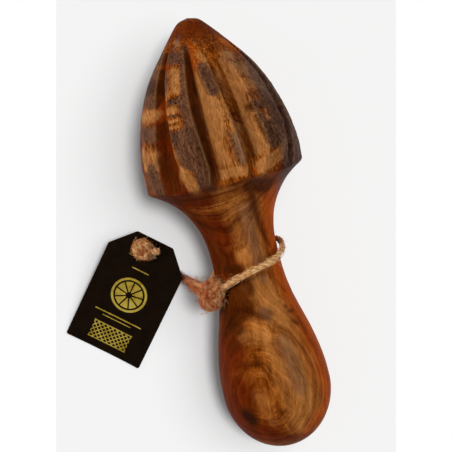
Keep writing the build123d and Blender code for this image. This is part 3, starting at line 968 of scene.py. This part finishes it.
height = plus(times(fibres, 0.6), times(pepper, times(on_land, 0.8)))
height = minus(height, times(pores, 0.4))
height = minus(height, times(cracks, times(bark_mask, 2.0)))
bumped(shader, height, 0.6, 0.2)
reamer.data.materials.append(olive_wood)
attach(reamer, "reamer")
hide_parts("reamer")

# %% [markdown]
# Jute is pale straw fibre, with painted shade in the gaps between its plies. Where the twine lies
# in shade, beside the neck, in the knots and on the strands, painted shade turns it a warm orange. The
# twine's own UV map follows the fibres, so the streaks stay with each ply as it winds.

# %% Jute material
jute, tree, shader = new_material("jute_fibre")
along_fibre = add_node(tree, "ShaderNodeUVMap", uv_map="fibre").outputs[0]
place = in_millimetres(tree)
streaks = noise_at(stretched(along_fibre, (22.0, 1.1, 1.0), Rotation=(0, 0, 0.06)), 1.0, 4.0, 0.7)
mottle = noise_at(place, 0.35, 3.0, 0.5)
turn = add_node(tree, "ShaderNodeSeparateXYZ", {0: along_fibre}).outputs[0]
ply_place = math_node("FRACT", times(turn, float(PLIES)))
gap = math_node("ABSOLUTE", minus(ply_place, 0.5))
gap = times(minus(0.5, gap), 2.0)
ply_gap_shade = math_node("POWER", gap, 2.5)
base = ramp_node(streaks, (
    (0.28, (138, 80, 36)), (0.42, (220, 160, 90)), (0.56, (248, 206, 138)), (0.70, (255, 238, 192)),
))
# Painted shade in the gaps between the plies
colour = mix_colour(times(ply_gap_shade, 0.55), base, (112, 60, 24))
# Painted shade: a warm orange where the twine lies in shade
twine_shade = times(attribute(tree, "twine_shade"), plus(mottle, 0.35), clamp=True)
colour = mix_colour(times(twine_shade, 0.85), colour, (178, 82, 30))
flecks = specks(place, 0.5, 0.06)
colour = mix_colour(times(flecks, 0.5), colour, (92, 54, 28))
set_inputs(shader, {"Base Color": colour, "Roughness": 0.85, "Sheen Weight": 0.25})
bumped(shader, streaks, 0.7, 0.15)


def shade_along_twine(piece, levels):
    """How much painted shade the twine gets along its length, from (share, level) pairs."""
    mesh = piece.data
    along = np.zeros(len(mesh.vertices))
    ring_count = (len(mesh.vertices) - 2) // TWINE_SIDES
    along[: ring_count * TWINE_SIDES] = np.repeat(np.linspace(0, 1, ring_count), TWINE_SIDES)
    along[-1] = 1
    store(mesh, "twine_shade", np.interp(along, *zip(*levels)))


# %% [markdown]
# Two knots hold the twine: one closes the loop beside the neck, and one stops it on the tag. Each is
# an overhand knot drawn as the closed curve that mathematicians call a trefoil, flattened to about
# the size of its CAD solid, with the same laid twine swept along it.

# %% Knots
KNOT_STEPS = 18


def oval_ways(long_way, flat_way):
    """The long, wide and thin directions of an oval."""
    long_way = Vector(long_way).normalized()
    thin_way = (Vector(flat_way) - long_way * Vector(flat_way).dot(long_way)).normalized()
    return long_way, thin_way.cross(long_way), thin_way


def knot_line(name, centre, long_way, flat_way, sizes, turn):
    """Points of a trefoil with its middle, its long direction, its thin direction and half sizes."""
    long_way, wide_way, thin_way = oval_ways(long_way, flat_way)
    route = []
    for step in range(KNOT_STEPS):
        angle = 2 * math.pi * step / KNOT_STEPS + turn
        along = math.sin(angle) + 2 * math.sin(2 * angle)
        across = math.cos(angle) - 2 * math.cos(2 * angle)
        offset = long_way * along / 3 * sizes[0] + wide_way * across / 3 * sizes[1]
        offset += thin_way * -math.sin(3 * angle) * sizes[2]
        route.append(tuple(Vector(centre) + offset))
    return route_line(name, route, cyclic=True)


KNOT_TWINE, KNOT_LAY = 2.1 * MM, 4.6 * MM
KNOT_PLACE, KNOT_LONG, KNOT_FLAT = (-14.0, -17.6, 31.1), (-0.26, -0.82, -0.51), (0.3, -0.5, 0.8)
neck_knot_line = knot_line("neck_knot_line", KNOT_PLACE, KNOT_LONG, KNOT_FLAT, (5.2, 3.6, 1.8), 0.4)
neck_knot = laid_twine("twine_neck_knot", neck_knot_line, KNOT_TWINE, lay=KNOT_LAY, seed=4)
TAG_TURN, TAG_LEAN = math.radians(40), math.radians(17)
TAG_ACROSS = Vector((math.cos(TAG_TURN), -math.sin(TAG_TURN), 0))
TAG_UP = Vector((
    math.sin(TAG_TURN) * math.cos(TAG_LEAN), math.cos(TAG_TURN) * math.cos(TAG_LEAN), math.sin(TAG_LEAN),
))
TAG_OUT = TAG_ACROSS.cross(TAG_UP)
TAG_FOOT = Vector((-57.4, -28.9, 0))
HOLE_STATION = 41.3
TAG_SEAT = 0.8


def on_tag(across, up, out):
    return TAG_FOOT + TAG_ACROSS * across + TAG_UP * up + TAG_OUT * out


BALL_PLACE = on_tag(-2.4, HOLE_STATION + 1.0, TAG_SEAT + 2.7)
ball_long = TAG_ACROSS + TAG_UP * 0.6
tag_knot_line = knot_line("tag_knot_line", BALL_PLACE, ball_long, TAG_OUT, (2.8, 2.8, 1.5), 0.9)
tag_knot = laid_twine("twine_tag_knot", tag_knot_line, KNOT_TWINE, lay=KNOT_LAY, seed=5)
END_TURN = math.radians(18)
END_STOPS = ((1.0, 0.4), (2.4, 0.3), (3.6, 0.1), (4.8, -0.1), (5.8, -0.3))
end_way = TAG_ACROSS * math.cos(END_TURN) + TAG_UP * math.sin(END_TURN)
end_route = [tuple(BALL_PLACE + end_way * reach + TAG_OUT * rise) for reach, rise in END_STOPS]
cut_end_line = route_line("cut_end_line", end_route)
cut_end = laid_twine("twine_cut_end", cut_end_line, TWINE_DIAMETER * 1.08, lay=5.0 * MM, seed=6)
print("knots of", [len(piece.data.polygons) for piece in (neck_knot, tag_knot, cut_end)], "faces")

# Painted shade along each piece, as pairs of a share of its length and a level
shade_along_twine(neck_loop, ((0, 0.7), (0.12, 0.25), (0.2, 0.0), (0.34, 0.1), (0.42, 0.9), (0.6, 1.0), (1, 0.9)))
shade_along_twine(upper_strand, ((0, 0.9), (1, 0.8)))
shade_along_twine(lower_strand, ((0, 0.9), (1, 0.8)))
shade_along_twine(neck_knot, ((0, 0.75), (0.5, 0.6), (1, 0.75)))
shade_along_twine(tag_knot, ((0, 0.25), (1, 0.25)))
shade_along_twine(cut_end, ((0, 0.3), (1, 0.35)))
for piece in (neck_loop, upper_strand, lower_strand, neck_knot, tag_knot, cut_end):
    piece.data.materials.append(jute)

# %% [markdown]
# Loose fibres make jute look like jute. A Geometry Nodes tree scatters points over a piece of twine
# and sets a bent hair on each. Its inputs are how many hairs stand on a square metre, how long and
# thick they are, and the seed. The result becomes a plain mesh, so nothing is left to evaluate.

# %% Loose fibres
FULL_TURN = 6.28


def fibre_tree():
    tree = bpy.data.node_groups.new("loose_fibres", "GeometryNodeTree")
    tree.interface.new_socket("Geometry", in_out="INPUT", socket_type="NodeSocketGeometry")
    kinds = {
        "Density": "Float", "Length": "Float", "Thickness": "Float", "Seed": "Int", "Material": "Material",
    }
    for name, kind in kinds.items():
        tree.interface.new_socket(name, in_out="INPUT", socket_type="NodeSocket" + kind)
    tree.interface.new_socket("Geometry", in_out="OUTPUT", socket_type="NodeSocketGeometry")
    given = tree.nodes.new("NodeGroupInput").outputs
    leave = tree.nodes.new("NodeGroupOutput")
    points = add_node(tree, "GeometryNodeDistributePointsOnFaces", {
        "Mesh": given["Geometry"], "Density": given["Density"], "Seed": given["Seed"],
    })
    middle = vector_math(tree, "SCALE", {0: (0.05, 0.0, 0.55), "Scale": given["Length"]})
    far = vector_math(tree, "SCALE", {0: (0.75, 0.1, 0.62), "Scale": given["Length"]})
    bend = add_node(tree, "GeometryNodeCurveQuadraticBezier", {
        "Resolution": 6, "Start": (0, 0, 0), "Middle": middle, "End": far,
    })
    profile = add_node(tree, "GeometryNodeCurvePrimitiveCircle", {
        "Resolution": 3, "Radius": given["Thickness"],
    })
    hair = add_node(tree, "GeometryNodeCurveToMesh", {
        "Curve": bend, "Profile Curve": profile, "Fill Caps": True,
    })
    spin = add_node(tree, "FunctionNodeRandomValue", {
        0: (-0.7, -0.7, 0.0), 1: (0.7, 0.7, FULL_TURN), "Seed": given["Seed"],
    }, data_type="FLOAT_VECTOR")
    spin = add_node(tree, "FunctionNodeEulerToRotation", {0: spin})
    way = add_node(tree, "FunctionNodeRotateRotation", {
        "Rotation": points.outputs["Rotation"], "Rotate By": spin,
    }, rotation_space="LOCAL")
    size = add_node(tree, "FunctionNodeRandomValue", {
        2: 0.25, 3: 1.15, "Seed": given["Seed"],
    }, data_type="FLOAT")
    hairs = add_node(tree, "GeometryNodeInstanceOnPoints", {
        "Points": points.outputs["Points"], "Instance": hair, "Rotation": way, "Scale": size.outputs[1],
    })
    whole = add_node(tree, "GeometryNodeRealizeInstances", {"Geometry": hairs})
    dressed = add_node(tree, "GeometryNodeSetMaterial", {"Geometry": whole, "Material": given["Material"]})
    set_inputs(leave, {0: dressed})
    return tree


FIBRES = fibre_tree()
fibre_material, tree, shader = new_material("loose_jute_fibre")
shade = noise_at(in_millimetres(tree), 0.8, 2.0, 0.5)
colour = ramp_node(shade, (
    (0.36, (156, 84, 38)), (0.47, (216, 150, 82)), (0.58, (248, 208, 144)), (0.68, (255, 238, 196)),
))
# Painted shade: the loose fibres turn a warm orange where they lie in shade
twine_shade = times(attribute(tree, "twine_shade"), minus(1.5, shade), clamp=True)
set_inputs(shader, {"Base Color": mix_colour(twine_shade, colour, (190, 84, 28)), "Roughness": 0.8})


# How much painted shade the fibres get, from pairs of a place across the reamer, in millimetres, and a level
SHADE_ACROSS = ((-30, 0.3), (-26, 1.0), (-15, 0.75), (-9, 0.1), (11, 0.1), (14, 0.6))


def shade_by_place(mesh):
    """Painted shade on loose fibres: most beside the neck and on the strands, little on the front and the
    tag.
    """
    where = np.empty(len(mesh.vertices) * 3, np.float32)
    mesh.vertices.foreach_get("co", where)
    store(mesh, "twine_shade", np.interp(where[::3] * 1000, *zip(*SHADE_ACROSS)))


def loose_fibres(name, twine, density, length, thickness, seed):
    """A mesh of loose hairs that stand on a piece of twine."""
    piece = placed(name, twine.data.copy())
    modifier = piece.modifiers.new("fibres", "NODES")
    modifier.node_group = FIBRES
    values = {
        "Density": density, "Length": length * MM, "Thickness": thickness * MM, "Seed": seed,
        "Material": fibre_material,
    }
    for item in FIBRES.interface.items_tree:
        if item.in_out == "INPUT" and item.name in values:
            modifier[item.identifier] = values[item.name]
    bpy.context.view_layer.update()
    mesh = bpy.data.meshes.new_from_object(piece.evaluated_get(bpy.context.evaluated_depsgraph_get()))
    piece.modifiers.clear()
    piece.data = mesh
    piece.data.name = name
    if "twine_shade" in mesh.attributes:
        mesh.attributes.remove(mesh.attributes["twine_shade"])
    shade_by_place(mesh)
    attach(piece, "twine")
    print(name, "faces:", len(mesh.polygons))
    return piece


# For each: hairs on a square metre, their length and thickness in millimetres, and the seed
loop_fibres = loose_fibres("fibres_neck_loop", neck_loop, 2.2e5, 2.2, 0.035, 11)
neck_knot_fibres = loose_fibres("fibres_neck_knot", neck_knot, 1.3e6, 3.4, 0.032, 12)
upper_fibres = loose_fibres("fibres_upper_strand", upper_strand, 8e5, 2.2, 0.032, 13)
lower_fibres = loose_fibres("fibres_lower_strand", lower_strand, 7e5, 2.2, 0.032, 14)
tag_knot_fibres = loose_fibres("fibres_tag_knot", tag_knot, 2.2e6, 1.2, 0.035, 15)
cut_end_fibres = loose_fibres("fibres_cut_end", cut_end, 1.2e6, 1.1, 0.04, 16)

# %% [markdown]
# The knots in soft jute hardly show their turns: loose fibres wind round them like wool round a
# ball, and fan out along the strands. Each fibre here is a poly line with its own thickness. Some
# circle an oval, and the rest follow a strand and drift away from it.

# %% Tangled fibres
WOUND_POINTS, WOUND_THICKNESS = 12, (0.035, 0.085)
DRIFTING_POINTS, DRIFTING_THICKNESS = 10, (0.03, 0.07)


def hair_mesh(name, hairs):
    """A mesh of fine hairs, each a list of places in millimetres and a thickness."""
    data = curve_data(name, [places for places, _ in hairs])
    data.bevel_depth = MM
    data.bevel_resolution = 0
    data.use_fill_caps = True
    for spline, (_, thickness) in zip(data.splines, hairs):
        for control in spline.points:
            control.radius = thickness
    mesh = curve_mesh(name, data)
    mesh.name = name
    mesh.materials.append(fibre_material)
    shade_by_place(mesh)
    faced_outwards(mesh)
    piece = placed(name, mesh)
    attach(piece, "twine")
    print(name, "faces:", len(mesh.polygons))
    return piece


def winding_hairs(centre, long_way, flat_way, sizes, count, seed, free_share=0.3):
    """Hairs that circle an oval, some of them with an end that lifts off."""
    random = np.random.default_rng(seed)
    axes = np.array(oval_ways(long_way, flat_way))
    hairs = []
    for _ in range(count):
        first = random.normal(size=3)
        first /= np.linalg.norm(first)
        second = np.cross(first, random.normal(size=3))
        second /= np.linalg.norm(second)
        start, reach = random.uniform(0, FULL_TURN), random.uniform(0.8, 3.0)
        depth = random.uniform(0.72, 1.04)
        lift = random.uniform(0.4, 1.6) if random.random() < free_share else 0.0
        phase = random.uniform(0, FULL_TURN)
        places = []
        for way in np.linspace(0, 1, WOUND_POINTS):
            turn = start + reach * way
            away = depth + 0.05 * math.sin(6 * way + phase) + lift * max(way - 0.55, 0) ** 1.6
            around = first * math.cos(turn) + second * math.sin(turn)
            places.append(np.array(centre) + (around * sizes * away) @ axes)
        hairs.append((places, random.uniform(*WOUND_THICKNESS)))
    return hairs


def drifting_hairs(line, stretch, spread, count, seed):
    """Hairs that follow a stretch of a line and drift away from it; spread is at its start and end."""
    random = np.random.default_rng(seed)
    places = np.array([tuple(point) for point in line]) / MM
    shares = np.linspace(0, 1, len(places))
    hairs = []
    for _ in range(count):
        begin = random.uniform(stretch[0], stretch[1] - 0.08)
        end = min(begin + random.uniform(0.10, 0.34), stretch[1])
        drift = random.normal(size=(2, 3))
        sway, phase = random.normal(size=3) * 0.25, random.uniform(0, FULL_TURN)
        hair = []
        for way in np.linspace(0, 1, DRIFTING_POINTS):
            share = begin + (end - begin) * way
            here = np.array([np.interp(share, shares, places[:, axis]) for axis in range(3)])
            width = np.interp(share, stretch, spread)
            sideways = drift[0] * (1 - way) + drift[1] * way
            hair.append(here + sideways * width + sway * math.sin(5 * way + phase) * width)
        hairs.append((hair, random.uniform(*DRIFTING_THICKNESS)))
    return hairs


neck_hairs = winding_hairs(KNOT_PLACE, KNOT_LONG, KNOT_FLAT, (6.0, 4.6, 3.4), 420, 21)
strand_hairs = drifting_hairs(upper_line, (0.0, 0.5), (1.1, 0.6), 170, 22)
strand_hairs += drifting_hairs(lower_line, (0.0, 0.45), (1.1, 0.6), 170, 23)
loop_hairs = drifting_hairs(loop_line, (0.0, 0.42), (0.75, 0.45), 130, 24)
loop_hairs += drifting_hairs(loop_line, (0.85, 1.0), (0.6, 0.9), 60, 25)
# The stopper's hairs are wound in two balls: one round the knot and one over the card's hole
ball_hairs = winding_hairs(BALL_PLACE, TAG_ACROSS, TAG_OUT, (3.7, 3.6, 2.7), 340, 26, 0.4)
hole_place = on_tag(0.2, HOLE_STATION, TAG_SEAT + 0.9)
ball_hairs += winding_hairs(hole_place, TAG_ACROSS, TAG_OUT, (2.5, 2.4, 1.3), 120, 27)
neck_tangle = hair_mesh("tangle_neck_knot", neck_hairs)
strand_tangle = hair_mesh("tangle_strands", strand_hairs)
loop_tangle = hair_mesh("tangle_neck_loop", loop_hairs)
ball_tangle = hair_mesh("tangle_tag_knot", ball_hairs)

# %% [markdown]
# The hang tag is stiff coated card with a gloss black face and a brown core that shows at its cut
# edge. A filled 2D curve gives the outline and the hole, and its extrusion and bevel give the edge.
# The mesh is then bent a little, because a card that leans on twine is never quite flat.

# %% Hang tag
TAG_WIDTH, TAG_LENGTH, TAG_SHOULDER, TAG_TOP_WIDTH = 28.8, 46.3, 38.0, 13.8
TAG_THICKNESS, HOLE_RADIUS, TAG_CORNER, TAG_BEVEL = 0.5, 2.75, 0.8, 0.08
LONGEST_EDGE = 2.5
UV_SCALE = 50


def rounded_outline(corners, radius, steps=5):
    """The corners of a flat outline, each turned into a short arc."""
    points = []
    for index, corner in enumerate(corners):
        here = Vector(corner)
        before = (Vector(corners[index - 1]) - here).normalized()
        after = (Vector(corners[(index + 1) % len(corners)]) - here).normalized()
        reach = radius / math.tan(before.angle(after) / 2)
        for step in range(steps + 1):
            way = step / steps
            points.append(here + before * reach * (1 - way) ** 2 + after * reach * way**2)
    return points


def flat_shape(name, outlines, thickness, bevel):
    """A mesh of a flat shape with holes, from closed outlines in millimetres."""
    routes = [[(point[0], point[1], 0) for point in points] for points in outlines]
    data = curve_data(name, routes, dimensions="2D", unit=1)
    data.fill_mode = "BOTH"
    data.extrude = thickness / 2 - bevel
    data.bevel_depth = bevel
    data.bevel_resolution = 2
    for spline in data.splines:
        spline.use_cyclic_u = True
    return curve_mesh(name, data)


card_corners = (
    (-TAG_WIDTH / 2, 0), (TAG_WIDTH / 2, 0), (TAG_WIDTH / 2, TAG_SHOULDER),
    (TAG_TOP_WIDTH / 2, TAG_LENGTH), (-TAG_TOP_WIDTH / 2, TAG_LENGTH), (-TAG_WIDTH / 2, TAG_SHOULDER),
)
card_edge = rounded_outline(card_corners, TAG_CORNER)
hole_turns = np.linspace(0, 2 * math.pi, 48, endpoint=False)
hole = [(HOLE_RADIUS * math.cos(a), HOLE_STATION + HOLE_RADIUS * math.sin(a)) for a in hole_turns]
card_mesh = flat_shape("hang_tag_card", (card_edge, hole), TAG_THICKNESS, TAG_BEVEL)
shell = bmesh.new()
shell.from_mesh(card_mesh)
bmesh.ops.remove_doubles(shell, verts=shell.verts[:], dist=0.001)
for _ in range(4):
    long_edges = [edge for edge in shell.edges if edge.calc_length() > LONGEST_EDGE]
    bmesh.ops.subdivide_edges(shell, edges=long_edges, cuts=1)
    bmesh.ops.triangulate(shell, faces=shell.faces[:])
bmesh.ops.recalc_face_normals(shell, faces=shell.faces[:])
uv_layer = shell.loops.layers.uv.new("face_place")
core_layer = shell.faces.layers.float.new("core")
for face in shell.faces:
    face[core_layer] = 1.0 if abs(face.normal.z) < 0.4 else 0.0
    for loop in face.loops:
        loop[uv_layer].uv = (loop.vert.co.x / UV_SCALE + 0.5, loop.vert.co.y / UV_SCALE)
# The card curls at both long edges, and most at its lower right corner
for vertex in shell.verts:
    across, up, out = vertex.co
    curl = 0.35 * (across / 14.4) ** 2 * (1 - up / 60) + 0.25 * max(0, (across - up * 0.3 - 6) / 8) ** 2
    vertex.co = on_tag(across, up, out + TAG_THICKNESS / 2 + curl) * MM
shell.to_mesh(card_mesh)
shell.free()
hang_tag = placed("hang_tag_card", card_mesh)
print("card faces:", len(card_mesh.polygons))

# %% [markdown]
# The card carries a plain printed design of gold foil: a cut citrus wheel, three ruled lines and a
# woven band. It is drawn with arithmetic on the card's own UV map, in millimetres, so it stays sharp
# at any size and needs no picture.

# %% Card material with its foil design
card_finish, tree, shader = new_material("gloss_black_card")
face_place = add_node(tree, "ShaderNodeUVMap", uv_map="face_place").outputs[0]
face_mm = stretched(face_place, (UV_SCALE,) * 3, Location=(-UV_SCALE / 2, 0, 0))
parts = add_node(tree, "ShaderNodeSeparateXYZ", {0: face_mm})
card_x, card_y = parts.outputs[0], parts.outputs[1]
SOFT_EDGE = 0.05


def within(distance, half):
    """1 where a distance is under half, with a soft step."""
    return times(minus(half + SOFT_EDGE / 2, distance), 1 / SOFT_EDGE, clamp=True)


def bar(value, middle, half):
    return within(math_node("ABSOLUTE", minus(value, middle)), half)


def all_of(*masks, operation="MULTIPLY"):
    total = masks[0]
    for mask in masks[1:]:
        total = math_node(operation, total, mask)
    return total


def any_of(*masks):
    return all_of(*masks, operation="MAXIMUM")


def rule(up, half_thick, half_long):
    """A ruled line across the card, at its height on the card."""
    return all_of(bar(card_y, up, half_thick), bar(card_x, 0.0, half_long))


def lattice_line(sum_or_difference):
    """How far a point is from the nearest of a row of slanting lines."""
    turn = math_node("FRACT", math_node("MULTIPLY_ADD", sum_or_difference, 0.55))
    return math_node("ABSOLUTE", minus(turn, 0.5))


WHEEL_UP, WHEEL_RADIUS, WHEEL_SLICES = 23.5, 6.6, 9
wheel_y = minus(card_y, WHEEL_UP)
wheel_r = math_node("SQRT", plus(times(card_x, card_x), times(wheel_y, wheel_y)))
wheel_turn = times(math_node("ARCTAN2", card_x, wheel_y), WHEEL_SLICES / (2 * math.pi))
spoke = math_node("ABSOLUTE", minus(math_node("FRACT", plus(wheel_turn, 20.0)), 0.5))
spoke_gap = times(minus(0.5, spoke), wheel_r)
spoke_gap = times(spoke_gap, 2 * math.pi / WHEEL_SLICES)
slices = all_of(bar(wheel_r, 3.1, 1.9), minus(1.0, within(spoke_gap, 0.28)))
rind = bar(wheel_r, WHEEL_RADIUS - 0.5, 0.42)
# Each rule: height on the card, half thickness, half length; the last two frame the woven band
RULES = ((14.0, 0.22, 9.0), (12.6, 0.16, 5.5), (33.6, 0.2, 3.2), (9.7, 0.16, 7.4), (3.1, 0.16, 7.4))
rules = any_of(*(rule(*sizes) for sizes in RULES))
weave = any_of(*(within(lattice_line(way), 0.13) for way in (plus(card_x, card_y), minus(card_x, card_y))))
foil = any_of(rind, slices, rules, all_of(rule(6.4, 3.1, 7.2), weave))
front = math_node("GREATER_THAN", attribute(tree, "front"), 0.5)
foil = times(foil, front)

place = in_millimetres(tree)
dust = specks(place, 0.25, 0.02)
smear = noise_at(place, 0.25, 3.0, 0.5)
black = ramp_node(smear, ((0.35, (12, 5, 1)), (0.65, (20, 9, 3))))
colour = mix_colour(times(dust, 0.35), black, (70, 60, 50))
gold = ramp_node(smear, ((0.35, (176, 146, 40)), (0.65, (216, 190, 84))))
colour = mix_colour(foil, colour, gold)
colour = mix_colour(attribute(tree, "core"), colour, (84, 56, 36))
set_inputs(shader, {
    "Base Color": colour, "Metallic": times(foil, 0.35), "Roughness": plus(times(smear, 0.12), 0.22),
    "Specular IOR Level": 0.2, "Specular Tint": (1.0, 0.7, 0.5, 1),
})
bumped(shader, plus(foil, times(smear, 0.4)), 0.25, 0.03)
is_front = [float(polygon.normal.dot(TAG_OUT) > 0.5) for polygon in card_mesh.polygons]
store(card_mesh, "front", is_front, "FACE")
hang_tag.data.materials.append(card_finish)
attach(hang_tag, "tag")
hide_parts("hang_tag")

# %% [markdown]
# The photograph shows grey paper between two white margins. A shadow lies on the left side of the
# object, dark at its foot and fading outwards, and none on its right. So two suns from the right, a
# narrow one and a wide one, light only the floor. The main light from the upper left lights only the
# object: light linking leaves the floor out.

# %% Floor of pale paper
FLOOR_GREY = srgb(244, 244, 244)
PAPER_MIDDLE, PAPER_HALF_WIDTH = -4.65, 61.1
PAPER = 0.4
WORLD_LEVEL = 0.22
NEAR_SHADOW, NEAR_HEIGHT = 3.5, 0.98
FAR_SHADOW, FAR_HEIGHT = 2.5, 0.92
FLOOR_LIGHT = WORLD_LEVEL + (NEAR_SHADOW * NEAR_HEIGHT + FAR_SHADOW * FAR_HEIGHT) / math.pi
FLOOR_REACH, FLOOR_LEVEL = 1.5, -0.0003

floor_material, tree, shader = new_material("floor_paper")
output = shader.outputs[0].links[0].to_node
tree.nodes.remove(shader)
turned = in_millimetres(tree, Rotation=(0, 0, -CAMERA_ROLL))
sideways = add_node(tree, "ShaderNodeSeparateXYZ", {0: turned}).outputs[0]
from_middle = math_node("ABSOLUTE", minus(sideways, PAPER_MIDDLE))
margin = math_node("GREATER_THAN", from_middle, PAPER_HALF_WIDTH)
diffuse = add_node(tree, "ShaderNodeBsdfDiffuse", {"Color": (PAPER, PAPER, PAPER, 1)})
seen = add_node(tree, "ShaderNodeLightPath").outputs["Is Camera Ray"]
level = times(seen, FLOOR_GREY[0] - PAPER * FLOOR_LIGHT)
glow = add_node(tree, "ShaderNodeEmission", {"Color": (1, 1, 1, 1), "Strength": level})
paper = add_node(tree, "ShaderNodeAddShader", {0: diffuse, 1: glow})
white = add_node(tree, "ShaderNodeEmission", {"Color": (1, 1, 1, 1), "Strength": 1.0})
choice = add_node(tree, "ShaderNodeMixShader", {0: times(margin, seen), 1: paper, 2: white})
set_inputs(output, {"Surface": choice})

floor_mesh = bpy.data.meshes.new("floor")
corners = [(x * FLOOR_REACH, y * FLOOR_REACH, FLOOR_LEVEL) for x, y in ((-1, -1), (1, -1), (1, 1), (-1, 1))]
floor_mesh.from_pydata(corners, [], [(0, 1, 2, 3)])
floor = placed("floor", floor_mesh)
floor.data.materials.append(floor_material)

# %% [markdown]
# A weak white sky fills the shadows. Three suns light the object: the key from the upper left, a rim
# light on the right edges, and one that gives nothing but sheen.

# %% Lights
world = bpy.data.worlds.new("studio")
bpy.context.scene.world = world
world.use_nodes = True
background = world.node_tree.nodes["Background"]
set_inputs(background, {"Color": (1, 1, 1, 1), "Strength": WORLD_LEVEL})


def sun(name, towards, strength, softness, on_floor=False):
    """A sun for the floor or for all but the floor, from (right, up the picture, height)."""
    data = bpy.data.lights.new(name, "SUN")
    data.energy = strength
    data.angle = math.radians(softness)
    light = placed(name, data)
    way = Vector(towards)
    way.rotate(Matrix.Rotation(CAMERA_ROLL, 3, "Z"))
    light.rotation_euler = way.to_track_quat("Z", "Y").to_euler()
    receivers = bpy.data.collections.new(name + "_receivers")
    receivers.objects.link(floor)
    light.light_linking.receiver_collection = receivers
    if not on_floor:
        receivers.collection_objects[0].light_linking.link_state = "EXCLUDE"
    return light


key = sun("key", (-0.74, 0.16, 0.86), 2.3, 12)
rim_light = sun("right_edge", (0.95, -0.15, 0.6), 0.9, 25)
sheen = sun("sheen", (0.50, 0.0, 0.95), 1.0, 30)
key.visible_glossy = rim_light.visible_glossy = False
sheen.visible_diffuse = False
sun("near_shadow", (0.16, 0.05, NEAR_HEIGHT), NEAR_SHADOW, 12, on_floor=True)
sun("far_shadow", (0.36, 0.14, FAR_HEIGHT), FAR_SHADOW, 44, on_floor=True)

bpy.context.scene.view_settings.view_transform = "Standard"

# %% [markdown]
# Each piece of twine rides on the twine's body and takes the place of its plain CAD node. The knots
# and the cut end do the same, and the fibres already ride on that body.

# %% Set the twine on its body
for piece, node in ((neck_loop, "neck_loop"), (upper_strand, "upper_strand"), (lower_strand, "lower_strand"),
                    (neck_knot, "neck_knot"), (tag_knot, "tag_knot"), (cut_end, "cut_end")):
    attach(piece, "twine")
    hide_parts(node)
